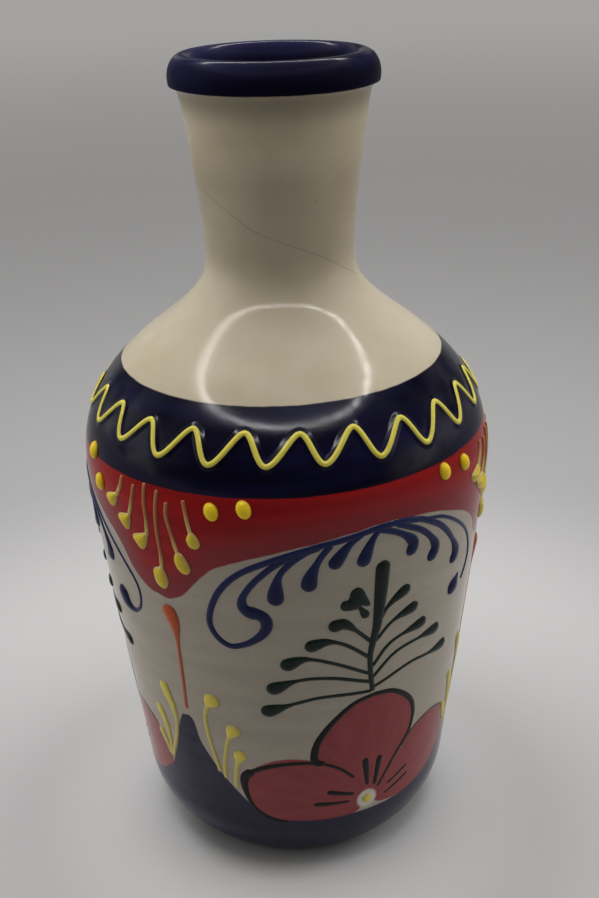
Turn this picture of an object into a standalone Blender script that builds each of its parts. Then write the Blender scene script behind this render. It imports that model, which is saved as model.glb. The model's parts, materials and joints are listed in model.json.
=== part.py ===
"""Ceramic bottle with a rolled lip and raised slip ornament, in metres with +Z up.

The fired clay shell is one turned piece. Thick coloured slip is trailed on it in lines, drops and
dots. Each trail is a solid of its own, set off from the clay by the glaze that bonds it there.
Turns are degrees around the axis: 0 faces -Y, and a positive turn goes towards +X.
"""

from collections import namedtuple

import bmesh
import bpy
import numpy as np
from mathutils import Matrix, Vector
from mathutils.geometry import interpolate_bezier

# Clay shell, from the foot up
FOOT_RADIUS = 0.0415
FOOT_RING_WIDTH = 0.0060
FOOT_RECESS = 0.0020
HEEL_RADIUS = 0.0516
HEEL_HEIGHT = 0.0200
BELLY_RADIUS = 0.0632
BELLY_HEIGHT = 0.1320
WAIST_RADIUS = 0.0223
WAIST_HEIGHT = 0.1920
NECK_TOP_RADIUS = 0.0264
LIP_RADIUS = 0.0302
LIP_THICKNESS = 0.0092
LIP_DEPTH = 0.0128
LIP_COVE = 0.0052
BOTTLE_HEIGHT = 0.2500
WALL = 0.0050
FLOOR = 0.0070
FLOOR_FILLET = 0.0120

# Slip trails: plan widths, and how high a trail stands for its width
GLAZE = 0.0003
ZIGZAG_WIDTH = 0.0022
DOT_WIDTH = 0.0045
DROP_TAIL_WIDTH = 0.0016
DROP_HEAD_WIDTH = 0.0052
GARLAND_LINE_WIDTH = 0.0020
GARLAND_HEAD_WIDTH = 0.0048
FERN_LINE_WIDTH = 0.0013
FERN_HEAD_WIDTH = 0.0040
STEM_TOP_WIDTH = 0.0044
FLAME_TAIL_WIDTH = 0.0011
FLAME_HEAD_WIDTH = 0.0042
SPRIG_TAIL_WIDTH = 0.0013
SPRIG_HEAD_WIDTH = 0.0040
BEAD_WIDTH = 0.0036
THICK_RISE = 0.42
THIN_RISE = 0.26

# Strokes that fuse stand on different levels, so that their undersides never nearly coincide
LEVEL_STEP = 0.00006
LEVEL_COUNT = 3

# How late along its length a stroke swells from its tail to its head: 1 is an even taper
EVEN_SWELL = 1.0
STEM_SWELL = 1.5
GARLAND_SWELL = 2.0
LEAF_SWELL = 3.0
FLAME_SWELL = 3.0
SPRIG_SWELL = 5.0
DROP_SWELL = 6.0

# Zigzag around the shoulder
ZIGZAG_COUNT = 23
ZIGZAG_TOP = 0.1565
ZIGZAG_BOTTOM = 0.1488
ZIGZAG_PHASE = 3.8
ZIGZAG_FALL_SHARE = 0.40

# Three pendants of drops hang around the body, spaced by eye, and a panel follows each of them
PENDANT_TURNS = {"a": -40.0, "b": 76.0, "c": 204.0}
PANEL_LEAD = 60.0

# Resolution of the solids
SHELL_SEGMENTS = 48
SECTION_SIDES = 4
DOME_SIDES = 8
DOME_RINGS = 4
TRAIL_STEP = 0.0075
START_CAP_SHARES = (0.10, 1.0)
END_CAP_SHARES = (0.10, 0.50, 1.0)
ZIGZAG_LEG_SHARES = (0.08, 0.50, 0.92)
FINE_STEPS = 60
FILLET_STEPS = 4
SLOPE_REACH = 0.0005
MERGE_DISTANCE = 0.00001
GLAZE_ROUGHNESS = 0.18

Knot = namedtuple("Knot", "radius height flare pull_below pull_above steps")
Stroke = namedtuple("Stroke", "points start_width end_width swell")

LIP_CENTRE = (LIP_RADIUS - LIP_THICKNESS / 2.0, BOTTLE_HEIGHT - LIP_DEPTH / 2.0)
NECK_TOP_HEIGHT = BOTTLE_HEIGHT - LIP_DEPTH - LIP_COVE
LIP_START_ANGLE = -60.0
LIP_END_ANGLE = 180.0
LIP_STEPS = 8

# Flare is the wall's slope at a knot, and the pulls are shares of the rise to the next knot
WALL_KNOTS = (
    Knot(FOOT_RADIUS, 0.0, 1.00, 0.0, 0.325, 4),
    Knot(HEEL_RADIUS, HEEL_HEIGHT, 0.11, 0.40, 0.33, 6),
    Knot(BELLY_RADIUS, BELLY_HEIGHT, 0.00, 0.16, 0.59, 9),
    Knot(WAIST_RADIUS, WAIST_HEIGHT, 0.00, 0.32, 0.30, 3),
    Knot(NECK_TOP_RADIUS, NECK_TOP_HEIGHT, 0.13, 0.35, 0.0, 0),
)

# A drop hangs from its tail to its head through (turn, height) points from its pendant's middle
DROPS = (
    ((-9.6, 0.1400), (-10.9, 0.1355), (-13.4, 0.1318), (-13.8, 0.1277)),
    ((-4.2, 0.1384), (-5.2, 0.1335), (-8.6, 0.1268), (-8.2, 0.1228)),
    ((-0.3, 0.1400), (-0.3, 0.1300), (-2.8, 0.1215), (-2.8, 0.1175)),
    ((3.9, 0.1382), (3.5, 0.1280), (3.4, 0.1150), (3.6, 0.1075)),
    ((7.2, 0.1367), (7.6, 0.1300), (9.6, 0.1210), (12.2, 0.1147)),
    ((12.2, 0.1384), (13.2, 0.1330), (14.4, 0.1280), (15.8, 0.1240)),
)
DOTS_LEFT = {
    "a": ((-26.0, 0.1408), (-20.8, 0.1331)),
    "b": ((-30.5, 0.1388), (-21.1, 0.1378)),
    "c": ((-28.0, 0.1390), (-21.0, 0.1360)),
}
DOTS_RIGHT = ((20.2, 0.1362), (28.7, 0.1377))

# Garland, measured from its panel's middle: the arch with its hook, then the strokes that hang from it
GARLAND_ARCH = (
    (31.3, 0.1055), (34.0, 0.1080), (30.5, 0.1143), (24.8, 0.1216), (17.5, 0.1268), (10.5, 0.1288),
    (3.0, 0.1288), (-4.5, 0.1275), (-13.8, 0.1257), (-22.8, 0.1228), (-33.3, 0.1173), (-39.0, 0.1113),
    (-42.6, 0.1025), (-42.5, 0.0952), (-39.2, 0.0913), (-35.0, 0.0915), (-30.0, 0.0948), (-27.0, 0.0995),
    (-28.0, 0.1028), (-31.5, 0.1040),
)
GARLAND_DROPS = (
    ((-20.0, 0.1238), (-27.5, 0.1183), (-32.4, 0.1112), (-33.6, 0.1050)),
    ((-12.0, 0.1260), (-19.9, 0.1212), (-23.9, 0.1154), (-24.3, 0.1068)),
    ((-8.0, 0.1268), (-13.5, 0.1220), (-15.6, 0.1119)),
    ((1.0, 0.1288), (-5.5, 0.1250), (-9.2, 0.1196)),
    ((5.0, 0.1289), (0.5, 0.1250), (-1.6, 0.1176)),
    ((3.0, 0.1286), (8.6, 0.1256), (13.8, 0.1210), (12.8, 0.1166)),
    ((9.0, 0.1290), (17.5, 0.1233), (23.0, 0.1165), (20.8, 0.1115)),
)
GARLAND_TENDRIL = (
    (18.0, 0.1268), (25.0, 0.1246), (33.5, 0.1190), (42.0, 0.1105), (45.8, 0.1005), (43.0, 0.0938),
    (36.0, 0.0955),
)

# Fern, measured from its panel's middle: the stem from its foot up, then the leaves from the stem out
FERN_STEM = (
    (4.0, 0.0699), (3.1, 0.0754), (2.7, 0.0832), (3.5, 0.0880), (4.7, 0.0949), (4.7, 0.1068), (4.7, 0.1177),
)
FERN_LEAVES = (
    ((4.5, 0.0950), (10.1, 0.1026), (13.9, 0.1067)),
    ((3.6, 0.0885), (12.3, 0.0956), (17.3, 0.0987)),
    ((2.9, 0.0780), (8.6, 0.0848), (15.4, 0.0888), (22.2, 0.0907)),
    ((3.2, 0.0750), (13.8, 0.0801), (21.7, 0.0820), (28.7, 0.0848)),
    ((3.6, 0.0720), (14.4, 0.0747), (26.0, 0.0746), (34.4, 0.0749)),
    ((4.7, 0.0990), (1.7, 0.1033), (-0.9, 0.1079), (-2.7, 0.1107)),
    ((4.6, 0.0950), (0.4, 0.0993), (-3.0, 0.1035), (-6.6, 0.1047)),
    ((3.5, 0.0880), (-0.5, 0.0935), (-4.4, 0.0978), (-10.0, 0.0983)),
    ((2.8, 0.0815), (-4.2, 0.0890), (-9.9, 0.0927), (-16.6, 0.0921)),
    ((2.9, 0.0770), (-9.9, 0.0846), (-17.4, 0.0873), (-23.7, 0.0859)),
    ((3.2, 0.0745), (-5.8, 0.0778), (-13.7, 0.0798), (-21.3, 0.0792), (-28.4, 0.0759)),
    ((3.8, 0.0707), (-5.7, 0.0713), (-13.7, 0.0721), (-22.5, 0.0709), (-30.3, 0.0672)),
)
FLOWER_BEAD = (4.9, 0.0252)

# Flame stroke under a pendant and the sprigs beside it, measured from the pendant's middle
FLAME = ((2.9, 0.0612), (4.3, 0.0746), (4.7, 0.0863), (4.4, 0.0949), (3.3, 0.1008))
SPRIGS = {
    "left": (
        ((-9.0, 0.0365), (-4.9, 0.0458), (-2.6, 0.0531), (-2.3, 0.0592), (-5.4, 0.0674)),
        ((-9.0, 0.0365), (-7.9, 0.0416), (-7.3, 0.0486), (-10.9, 0.0556)),
        ((-9.0, 0.0365), (-9.9, 0.0390), (-11.4, 0.0427), (-13.2, 0.0452)),
    ),
    "right": (
        ((19.2, 0.0332), (15.9, 0.0381), (11.9, 0.0456), (10.5, 0.0535), (10.7, 0.0608), (14.1, 0.0706)),
        ((19.2, 0.0332), (16.4, 0.0368), (15.8, 0.0430), (17.7, 0.0515), (20.6, 0.0600)),
        ((19.2, 0.0332), (19.2, 0.0375), (19.5, 0.0433), (21.7, 0.0502)),
    ),
}


def bezier_run(lower, upper, steps):
    """Return the wall's (radius, height) points from one knot to just short of the next."""
    rise = upper.height - lower.height
    start = Vector((lower.radius, lower.height))
    end = Vector((upper.radius, upper.height))
    start_pull = Vector((lower.flare, 1.0)) * (lower.pull_above * rise)
    end_pull = Vector((upper.flare, 1.0)) * (upper.pull_below * rise)
    points = interpolate_bezier(start, start + start_pull, end - end_pull, end, steps + 1)
    return [tuple(point) for point in points[:-1]]


def outer_wall(fine=False):
    """Return the outer wall's points from the foot up to the neck's top."""
    points = []
    for lower, upper in zip(WALL_KNOTS, WALL_KNOTS[1:]):
        points += bezier_run(lower, upper, FINE_STEPS if fine else lower.steps)
    points.append((NECK_TOP_RADIUS, NECK_TOP_HEIGHT))
    return points


FINE_RADII, FINE_HEIGHTS = np.array(outer_wall(fine=True)).T


def wall_radius(height):
    return float(np.interp(height, FINE_HEIGHTS, FINE_RADII))


def wall_slope(height):
    """Return how fast the wall's radius grows with height."""
    above = wall_radius(height + SLOPE_REACH)
    below = wall_radius(height - SLOPE_REACH)
    return (above - below) / (2.0 * SLOPE_REACH)


def wall_place(turn, height):
    """Return the point on the glaze at a turn and height, and the direction out of the wall there."""
    angle = np.radians(turn)
    outward = Vector((np.sin(angle), -np.cos(angle), 0.0))
    normal = (outward - Vector((0.0, 0.0, wall_slope(height)))).normalized()
    point = outward * wall_radius(height) + Vector((0.0, 0.0, height))
    return point + normal * GLAZE, normal


def lip_arc():
    """Return the rolled lip's points, from under its outer side over the crest to its inner side."""
    angles = np.radians(np.linspace(LIP_START_ANGLE, LIP_END_ANGLE, LIP_STEPS + 1))
    radii = LIP_CENTRE[0] + LIP_THICKNESS / 2.0 * np.cos(angles)
    heights = LIP_CENTRE[1] + LIP_DEPTH / 2.0 * np.sin(angles)
    return list(zip(radii, heights))


def inner_wall():
    """Return the inside's points from the floor's fillet up to the neck's top, one wall in."""
    fillet_top = FLOOR + FLOOR_FILLET
    heights = [height for _, height in outer_wall() if height > fillet_top]
    points = []
    for height in [fillet_top] + heights:
        thickness = WALL * np.hypot(1.0, wall_slope(height))
        points.append((wall_radius(height) - thickness, height))
    return points


def floor_fillet():
    """Return the points that round the inside's floor into its wall."""
    corner_radius = inner_wall()[0][0]
    angles = np.radians(np.linspace(-90.0, 0.0, FILLET_STEPS + 1)[:-1])
    radii = corner_radius - FLOOR_FILLET + FLOOR_FILLET * np.cos(angles)
    heights = FLOOR + FLOOR_FILLET + FLOOR_FILLET * np.sin(angles)
    return list(zip(radii, heights))


def shell_profile():
    """Return the shell's section, from the axis inside, over the lip and down to the axis below."""
    inside = [(0.0, FLOOR)] + floor_fillet() + inner_wall()
    outside = list(reversed(outer_wall()))
    ring_radius = FOOT_RADIUS - FOOT_RING_WIDTH
    underside = [(ring_radius, 0.0), (ring_radius - FOOT_RECESS, FOOT_RECESS), (0.0, FOOT_RECESS)]
    return inside + list(reversed(lip_arc())) + outside + underside


def glaze_material(name, colour):
    """Return a glossy glazed material of one colour."""
    material = bpy.data.materials.new(name)
    material.use_nodes = True
    shader = material.node_tree.nodes["Principled BSDF"]
    shader.inputs["Base Color"].default_value = (*colour, 1.0)
    shader.inputs["Roughness"].default_value = GLAZE_ROUGHNESS
    shader.inputs["Metallic"].default_value = 0.0
    material.diffuse_color = (*colour, 1.0)
    return material


def add_object(name, mesh, material, turn=0.0):
    """Add a mesh to the scene as a named piece, turned around the bottle's axis."""
    piece = bpy.data.objects.new(name, mesh)
    piece.rotation_euler.z = np.radians(turn)
    if not mesh.materials:
        mesh.materials.append(material)
    bpy.context.scene.collection.objects.link(piece)
    return piece


def mesh_from(name, vertices, faces):
    """Return a mesh of the given faces, all facing out and shaded smooth."""
    mesh = bpy.data.meshes.new(name)
    mesh.from_pydata(vertices, [], faces)
    shape = bmesh.new()
    shape.from_mesh(mesh)
    bmesh.ops.recalc_face_normals(shape, faces=shape.faces)
    shape.to_mesh(mesh)
    shape.free()
    mesh.shade_smooth()
    return mesh


def build_shell(material):
    """Turn the shell's section around the axis."""
    profile = shell_profile()
    mesh = bpy.data.meshes.new("bottle_body")
    edges = [(index, index + 1) for index in range(len(profile) - 1)]
    mesh.from_pydata([(radius, 0.0, height) for radius, height in profile], edges, [])
    shell = add_object("bottle_body", mesh, material)
    screw = shell.modifiers.new("Turn", "SCREW")
    screw.axis = "Z"
    screw.steps = SHELL_SEGMENTS
    screw.render_steps = SHELL_SEGMENTS
    screw.use_merge_vertices = True
    screw.merge_threshold = MERGE_DISTANCE
    screw.use_smooth_shade = True
    return shell


def smooth_route(points, closed=False):
    """Return a smooth curve's (turn, height) points through a stroke's own points."""
    points = np.array(points)
    before = points[-1:] if closed else 2.0 * points[:1] - points[1:2]
    after = points[:2] if closed else 2.0 * points[-1:] - points[-2:-1]
    ring = np.vstack((before, points, after))
    share = np.linspace(0.0, 1.0, FINE_STEPS, endpoint=False)[:, None]
    runs = []
    for p0, p1, p2, p3 in zip(ring, ring[1:], ring[2:], ring[3:]):
        bend = (2.0 * p0 - 5.0 * p1 + 4.0 * p2 - p3) * share**2
        twist = (3.0 * (p1 - p2) + p3 - p0) * share**3
        runs.append(0.5 * (2.0 * p1 + (p2 - p0) * share + bend + twist))
    return np.vstack(runs + [points[:1] if closed else points[-1:]])


def cap_shape(distance, cap):
    """Return how much of a trail's width is left at a distance from its round end."""
    left = np.clip(1.0 - distance / cap, 0.0, 1.0)
    return np.sqrt(1.0 - left**2)


def trail_stations(length, start_cap, end_cap):
    """Return distances along a trail, close together at its round ends."""
    start = start_cap * np.array(START_CAP_SHARES)
    end = length - end_cap * np.array(END_CAP_SHARES[::-1])
    count = max(2, int(np.ceil((end[0] - start[-1]) / TRAIL_STEP)))
    middle = np.linspace(start[-1], end[0], count + 1)[1:-1]
    return np.concatenate((start, middle, end))


def route_frames(route):
    """Return a route's places and directions out of the wall, and the length run at each."""
    places, normals = zip(*(wall_place(turn, height) for turn, height in route))
    places = np.array(places)
    gaps = np.linalg.norm(np.diff(places, axis=0), axis=1)
    return places, np.array(normals), np.concatenate(((0.0,), np.cumsum(gaps)))


def half_round(place, normal, along, width, rise):
    """Return a trail's section points: a half ellipse standing on the glaze."""
    normal = Vector(normal)
    across = normal.cross(Vector(along)).normalized()
    angles = np.linspace(0.0, np.pi, SECTION_SIDES + 1)
    points = []
    for angle in angles:
        offset = across * (width / 2.0 * np.cos(angle)) + normal * (rise * np.sin(angle))
        points.append(Vector(place) + offset)
    return points


def trail_mesh(stroke, rise_share, lift=0.0):
    """Return one trailed stroke as a closed half-round bead with round ends, lifted off the glaze."""
    places, normals, run = route_frames(smooth_route(stroke.points))
    places = places + normals * lift
    start_cap = stroke.start_width / 2.0
    end_cap = stroke.end_width / 2.0
    stations = trail_stations(run[-1], start_cap, end_cap)
    vertices = []
    for distance in stations:
        place = [np.interp(distance, run, places[:, axis]) for axis in range(3)]
        normal = [np.interp(distance, run, normals[:, axis]) for axis in range(3)]
        step = min(np.searchsorted(run, distance), len(run) - 1)
        along = places[step] - places[step - 1]
        grown = (distance / run[-1]) ** stroke.swell
        width = stroke.start_width + (stroke.end_width - stroke.start_width) * grown
        width *= cap_shape(distance, start_cap) * cap_shape(run[-1] - distance, end_cap)
        vertices += half_round(place, normal, along, width, width * rise_share)
    return mesh_from("trail", vertices, bead_faces(len(stations), closed=False))


def bead_faces(rings, closed):
    """Return the faces of a bead whose sections follow each other, as a closed ring or with two ends."""
    size = SECTION_SIDES + 1
    faces = []
    for ring in range(rings if closed else rings - 1):
        here = ring * size
        there = (ring + 1) % rings * size
        for corner in range(size):
            following = (corner + 1) % size
            faces.append((here + corner, here + following, there + following, there + corner))
    if not closed:
        faces.append(tuple(range(size)))
        faces.append(tuple(range((rings - 1) * size, rings * size)))
    return faces


def zigzag_mesh():
    """Return the zigzag as one closed bead around the shoulder."""
    pitch = 360.0 / ZIGZAG_COUNT
    fall = pitch * ZIGZAG_FALL_SHARE
    route = []
    for index in range(ZIGZAG_COUNT):
        peak = ZIGZAG_PHASE + pitch * index
        for share in ZIGZAG_LEG_SHARES:
            route.append((peak + fall * share, ZIGZAG_TOP + (ZIGZAG_BOTTOM - ZIGZAG_TOP) * share))
        for share in ZIGZAG_LEG_SHARES:
            turn = peak + fall + (pitch - fall) * share
            route.append((turn, ZIGZAG_BOTTOM + (ZIGZAG_TOP - ZIGZAG_BOTTOM) * share))
    places, normals, _ = route_frames(route)
    vertices = []
    for index, place in enumerate(places):
        along = places[(index + 1) % len(places)] - places[index - 1]
        vertices += half_round(place, normals[index], along, ZIGZAG_WIDTH, ZIGZAG_WIDTH * THICK_RISE)
    return mesh_from("zigzag_trail", vertices, bead_faces(len(places), closed=True))


def dome_mesh(turn, height, width, rise):
    """Return a dot of slip: a low dome on a flat base."""
    place, normal = wall_place(turn, height)
    shape = bmesh.new()
    bmesh.ops.create_uvsphere(shape, u_segments=DOME_SIDES, v_segments=DOME_RINGS, radius=1.0)
    below = [vertex for vertex in shape.verts if vertex.co.z < -MERGE_DISTANCE]
    bmesh.ops.delete(shape, geom=below, context="VERTS")
    rim = [edge for edge in shape.edges if edge.is_boundary]
    bmesh.ops.contextual_create(shape, geom=rim)
    bmesh.ops.recalc_face_normals(shape, faces=shape.faces)
    facing = normal.to_track_quat("Z", "Y").to_matrix().to_4x4()
    size = Matrix.Diagonal((width / 2.0, width / 2.0, rise, 1.0))
    shape.transform(Matrix.Translation(place) @ facing @ size)
    mesh = bpy.data.meshes.new("dome")
    shape.to_mesh(mesh)
    shape.free()
    mesh.shade_smooth()
    return mesh


def fused_mesh(name, strokes):
    """Return the union of overlapping strokes as one mesh."""
    meshes = []
    for index, stroke in enumerate(strokes):
        meshes.append(trail_mesh(stroke, THIN_RISE, LEVEL_STEP * (index % LEVEL_COUNT)))
    helpers = bpy.data.collections.new(name)
    base = bpy.data.objects.new(name, meshes[0])
    bpy.context.scene.collection.objects.link(base)
    for mesh in meshes[1:]:
        helpers.objects.link(bpy.data.objects.new("stroke", mesh))
    union = base.modifiers.new("Union", "BOOLEAN")
    union.operation = "UNION"
    union.operand_type = "COLLECTION"
    union.collection = helpers
    union.solver = "EXACT"
    union.use_self = True
    evaluated = base.evaluated_get(bpy.context.evaluated_depsgraph_get())
    fused = bpy.data.meshes.new_from_object(evaluated)
    for helper in list(helpers.objects):
        bpy.data.objects.remove(helper)
    bpy.data.objects.remove(base)
    bpy.data.collections.remove(helpers)
    fused.name = name
    fused.shade_smooth()
    return fused


def garland_mesh():
    """Return the garland: an arch with a hooked end, and the strokes that hang from it."""
    arch = Stroke(GARLAND_ARCH, GARLAND_LINE_WIDTH, GARLAND_LINE_WIDTH, EVEN_SWELL)
    tendril = Stroke(GARLAND_TENDRIL, GARLAND_LINE_WIDTH, GARLAND_LINE_WIDTH, EVEN_SWELL)
    strokes = [arch, tendril]
    for points in GARLAND_DROPS:
        strokes.append(Stroke(points, GARLAND_LINE_WIDTH, GARLAND_HEAD_WIDTH, GARLAND_SWELL))
    return fused_mesh("garland", strokes)


def fern_mesh():
    """Return the fern: a stem that swells towards its top, and its leaves."""
    strokes = [Stroke(FERN_STEM, FERN_LINE_WIDTH, STEM_TOP_WIDTH, STEM_SWELL)]
    for points in FERN_LEAVES:
        strokes.append(Stroke(points, FERN_LINE_WIDTH, FERN_HEAD_WIDTH, LEAF_SWELL))
    return fused_mesh("fern", strokes)


def sprig_mesh(name, routes):
    """Return a sprig: three drops on tails that spring from one point."""
    strokes = [Stroke(points, SPRIG_TAIL_WIDTH, SPRIG_HEAD_WIDTH, SPRIG_SWELL) for points in routes]
    return fused_mesh(name, strokes)


def add_copies(name, mesh, material, lead=0.0):
    """Add one copy of an ornament for each pendant, led on around the axis from it."""
    for pendant, turn in PENDANT_TURNS.items():
        add_object(name.format(pendant), mesh, material, turn + lead)


def build_pendants(yellow):
    """Add each pendant's drops and the dots on both sides of it."""
    for number, points in enumerate(DROPS, start=1):
        stroke = Stroke(points, DROP_TAIL_WIDTH, DROP_HEAD_WIDTH, DROP_SWELL)
        add_copies(f"pendant_{{}}_drop_{number}", trail_mesh(stroke, THICK_RISE), yellow)
    for pendant, turn in PENDANT_TURNS.items():
        for number, place in enumerate(DOTS_LEFT[pendant] + DOTS_RIGHT, start=1):
            dome = dome_mesh(*place, DOT_WIDTH, DOT_WIDTH * THICK_RISE)
            add_object(f"pendant_{pendant}_dot_{number}", dome, yellow, turn)


def build_panels():
    """Add each panel's garland, fern and flower bead."""
    blue = glaze_material("blue_slip", (0.010, 0.018, 0.115))
    green = glaze_material("green_slip", (0.010, 0.030, 0.028))
    bead_yellow = glaze_material("bead_slip", (0.66, 0.58, 0.10))
    add_copies("garland_{}", garland_mesh(), blue, PANEL_LEAD)
    add_copies("fern_{}", fern_mesh(), green, PANEL_LEAD)
    bead = dome_mesh(*FLOWER_BEAD, BEAD_WIDTH, BEAD_WIDTH * THIN_RISE)
    add_copies("flower_bead_{}", bead, bead_yellow, PANEL_LEAD)


def build_peaks():
    """Add the flame stroke and the two sprigs under each pendant."""
    orange = glaze_material("orange_slip", (0.42, 0.070, 0.022))
    pale = glaze_material("pale_yellow_slip", (0.58, 0.54, 0.065))
    flame = Stroke(FLAME, FLAME_TAIL_WIDTH, FLAME_HEAD_WIDTH, FLAME_SWELL)
    add_copies("flame_{}", trail_mesh(flame, THIN_RISE), orange)
    for side, routes in SPRIGS.items():
        add_copies(f"sprig_{{}}_{side}", sprig_mesh(side, routes), pale)


def main():
    for old in list(bpy.data.objects):
        bpy.data.objects.remove(old)
    build_shell(glaze_material("cream_glaze", (0.56, 0.50, 0.40)))
    yellow = glaze_material("yellow_slip", (0.68, 0.60, 0.065))
    add_object("zigzag_trail", zigzag_mesh(), yellow)
    build_pendants(yellow)
    build_panels()
    build_peaks()


main()
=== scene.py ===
"""Looks of the glazed ceramic bottle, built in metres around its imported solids.

The clay shell is turned again as a fine mesh that carries the painted bands and flowers, and each slip
trail is laid again as a smooth bead that is bedded in the glaze. Turns are degrees around the axis:
0 faces -Y, and a positive turn goes towards +X.
"""

import json
from collections import namedtuple

import bmesh
import bpy
import numpy as np
from mathutils import Matrix, Vector
from mathutils.geometry import interpolate_bezier

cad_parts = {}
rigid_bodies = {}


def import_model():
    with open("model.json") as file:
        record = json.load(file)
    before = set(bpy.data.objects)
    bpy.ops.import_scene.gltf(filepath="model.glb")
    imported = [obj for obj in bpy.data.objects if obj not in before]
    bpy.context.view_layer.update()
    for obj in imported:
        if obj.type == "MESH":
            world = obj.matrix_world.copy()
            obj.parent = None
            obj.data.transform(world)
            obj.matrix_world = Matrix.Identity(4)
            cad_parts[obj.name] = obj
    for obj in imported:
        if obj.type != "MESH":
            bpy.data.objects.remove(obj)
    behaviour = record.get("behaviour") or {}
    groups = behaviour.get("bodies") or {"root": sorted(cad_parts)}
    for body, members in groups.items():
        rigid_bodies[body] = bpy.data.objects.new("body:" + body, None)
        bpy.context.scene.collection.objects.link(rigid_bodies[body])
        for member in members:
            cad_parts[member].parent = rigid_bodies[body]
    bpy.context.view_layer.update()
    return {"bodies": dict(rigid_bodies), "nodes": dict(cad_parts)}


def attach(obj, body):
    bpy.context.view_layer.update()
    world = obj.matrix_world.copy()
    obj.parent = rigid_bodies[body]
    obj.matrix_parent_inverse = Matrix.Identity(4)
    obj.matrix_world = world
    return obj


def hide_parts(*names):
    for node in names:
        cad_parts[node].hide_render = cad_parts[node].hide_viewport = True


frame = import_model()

MM = 0.001

# A distance beyond every painted edge, and a length that stands for none
FAR = 100.0
TINY = 1e-18

# Clay shell, from the foot up, in the sizes of the part's source, with a rounder lip and foot edge
FOOT_RADIUS = 0.0415
FOOT_RING_WIDTH = 0.0060
FOOT_RECESS = 0.0020
FOOT_EDGE = 0.0010
HEEL_RADIUS = 0.0516
HEEL_HEIGHT = 0.0200
BELLY_RADIUS = 0.0632
BELLY_HEIGHT = 0.1320
WAIST_RADIUS = 0.0223
WAIST_HEIGHT = 0.1920
NECK_TOP_RADIUS = 0.0264
LIP_RADIUS = 0.0302
LIP_THICKNESS = 0.0092
LIP_DEPTH = 0.0128
LIP_COVE = 0.0052
LIP_OVERHANG = 0.0024
LIP_OVERHANG_FALL = 0.0006
NECK_REACH = 0.0080
BOTTLE_HEIGHT = 0.2500
WALL = 0.0050
FLOOR = 0.0070
FLOOR_FILLET = 0.0120

# Slip trails: plan widths, how high a trail stands for its width, and how deep it is bedded
BED = 0.00015
ZIGZAG_WIDTH = 0.0019
DOT_WIDTH = 0.0043
DOT_LENGTH = 0.0056
DOT_TILT = 18.0
DROP_TAIL_WIDTH = 0.0013
DROP_HEAD_RISE = 0.0014
GARLAND_LINE_WIDTH = 0.0021
GARLAND_HOOK_WIDTH = 0.0042
GARLAND_HEAD_WIDTHS = (0.0044, 0.0050, 0.0048, 0.0044, 0.0044, 0.0044, 0.0046, 0.0048)
TENDRIL_WIDTH = 0.0013
TENDRIL_HEAD_WIDTH = 0.0062
FERN_LINE_WIDTH = 0.0014
FERN_HEAD_WIDTHS = (0.0042, 0.0042, 0.0042, 0.0042, 0.0042, 0.0046, 0.0046, 0.0048, 0.0048, 0.0048)
FERN_BLOB_RISE = 0.0007
STEM_FOOT_WIDTH = 0.0018
STEM_TOP_WIDTH = 0.0048
FLAME_TAIL_WIDTH = 0.0014
FLAME_HEAD_WIDTH = 0.0054
SPRIG_WIDTH = 0.0017
BEAD_WIDTH = 0.0034
THICK_RISE = 0.33
THIN_RISE = 0.16
LINE_RISE = 0.08
SKIN = 0.0001

# How far before its end a stroke begins to swell into its head
HOOK_HEAD = 0.0210
GARLAND_HEAD = 0.0110
TENDRIL_HEAD = 0.0130
LEAF_HEAD = 0.0105
STEM_HEAD = 0.0400
FLAME_HEAD = 0.0150
BLADE_HEAD = 0.0180
BUD_HEAD = 0.0070
PETAL_LINE_HEAD = 0.0180
LINE_TAPER = 0.0400

# Zigzag around the shoulder: its teeth sway a little, it sags around the back, and glaze fills its sides
ZIGZAG_COUNT = 23
ZIGZAG_TOP = 0.1565
ZIGZAG_BOTTOM = 0.1488
ZIGZAG_PHASE = 3.8
ZIGZAG_FALL_SHARE = 0.40
ZIGZAG_SWAY = 0.0003
TOP_SWAY_BEAT = 2.1
BOTTOM_SWAY_BEAT = 1.7
ZIGZAG_SAG = 0.0040
ZIGZAG_SAG_TURNS = (86.0, 100.0)
FILLET_REACH = 0.0028
FILLET_RISE = 0.0009
FILLET_TOP = 0.0004

# Three pendants of drops hang around the body, and a panel follows each of them
PENDANT_TURNS = {"a": -40.0, "b": 76.0, "c": 204.0}
PANEL_LEAD = 60.0

# Resolution of the meshes
SHELL_SEGMENTS = 288
WALL_STEP = 0.0010
INSIDE_STEP = 0.0035
LIP_STEPS = 36
FLOOR_FILLET_STEPS = 8
SECTION_SIDES = 10
TRAIL_STEP = 0.0006
CAP_STEPS = 7
CAP_START_ANGLE = 0.12
DOME_SIDES = 28
DOME_RINGS = 14
FINE_STEPS = 60
SLOPE_REACH = 0.0005
MERGE_DISTANCE = 0.000001
BLOB_SKIP = 10
BLOB_RINGS = 7
PETAL_SKIP = 6

# Strokes that fuse stand on different levels, so that their undersides never nearly coincide
LEVEL_STEP = 0.00002
LEVEL_COUNT = 3

# A stroke that states no head changes its width over the line's taper
Knot = namedtuple("Knot", "radius height flare pull_below pull_above")
Stroke = namedtuple("Stroke", "points start_width end_width head", defaults=(LINE_TAPER,))
Drop = namedtuple("Drop", "tail head")

# Noise is drawn out along an axis whose stretch is below 1: not at all, or around the body as by a brush
EVEN = (1.0, 1.0, 1.0)
STREAK = (0.12, 0.12, 1.0)

# A coat turns from its first colour to its last as noise goes from low to high, with grains to a metre
# A shade lies over a colour, from its first strength to its last as a value goes from start to end
# An edge has a softness and a sway in millimetres
Coat = namedtuple("Coat", "grains low high first last stretch detail", defaults=(STREAK, 4.0))
Shade = namedtuple("Shade", "start end first last colour")
Edge = namedtuple("Edge", "softness sway")

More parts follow.
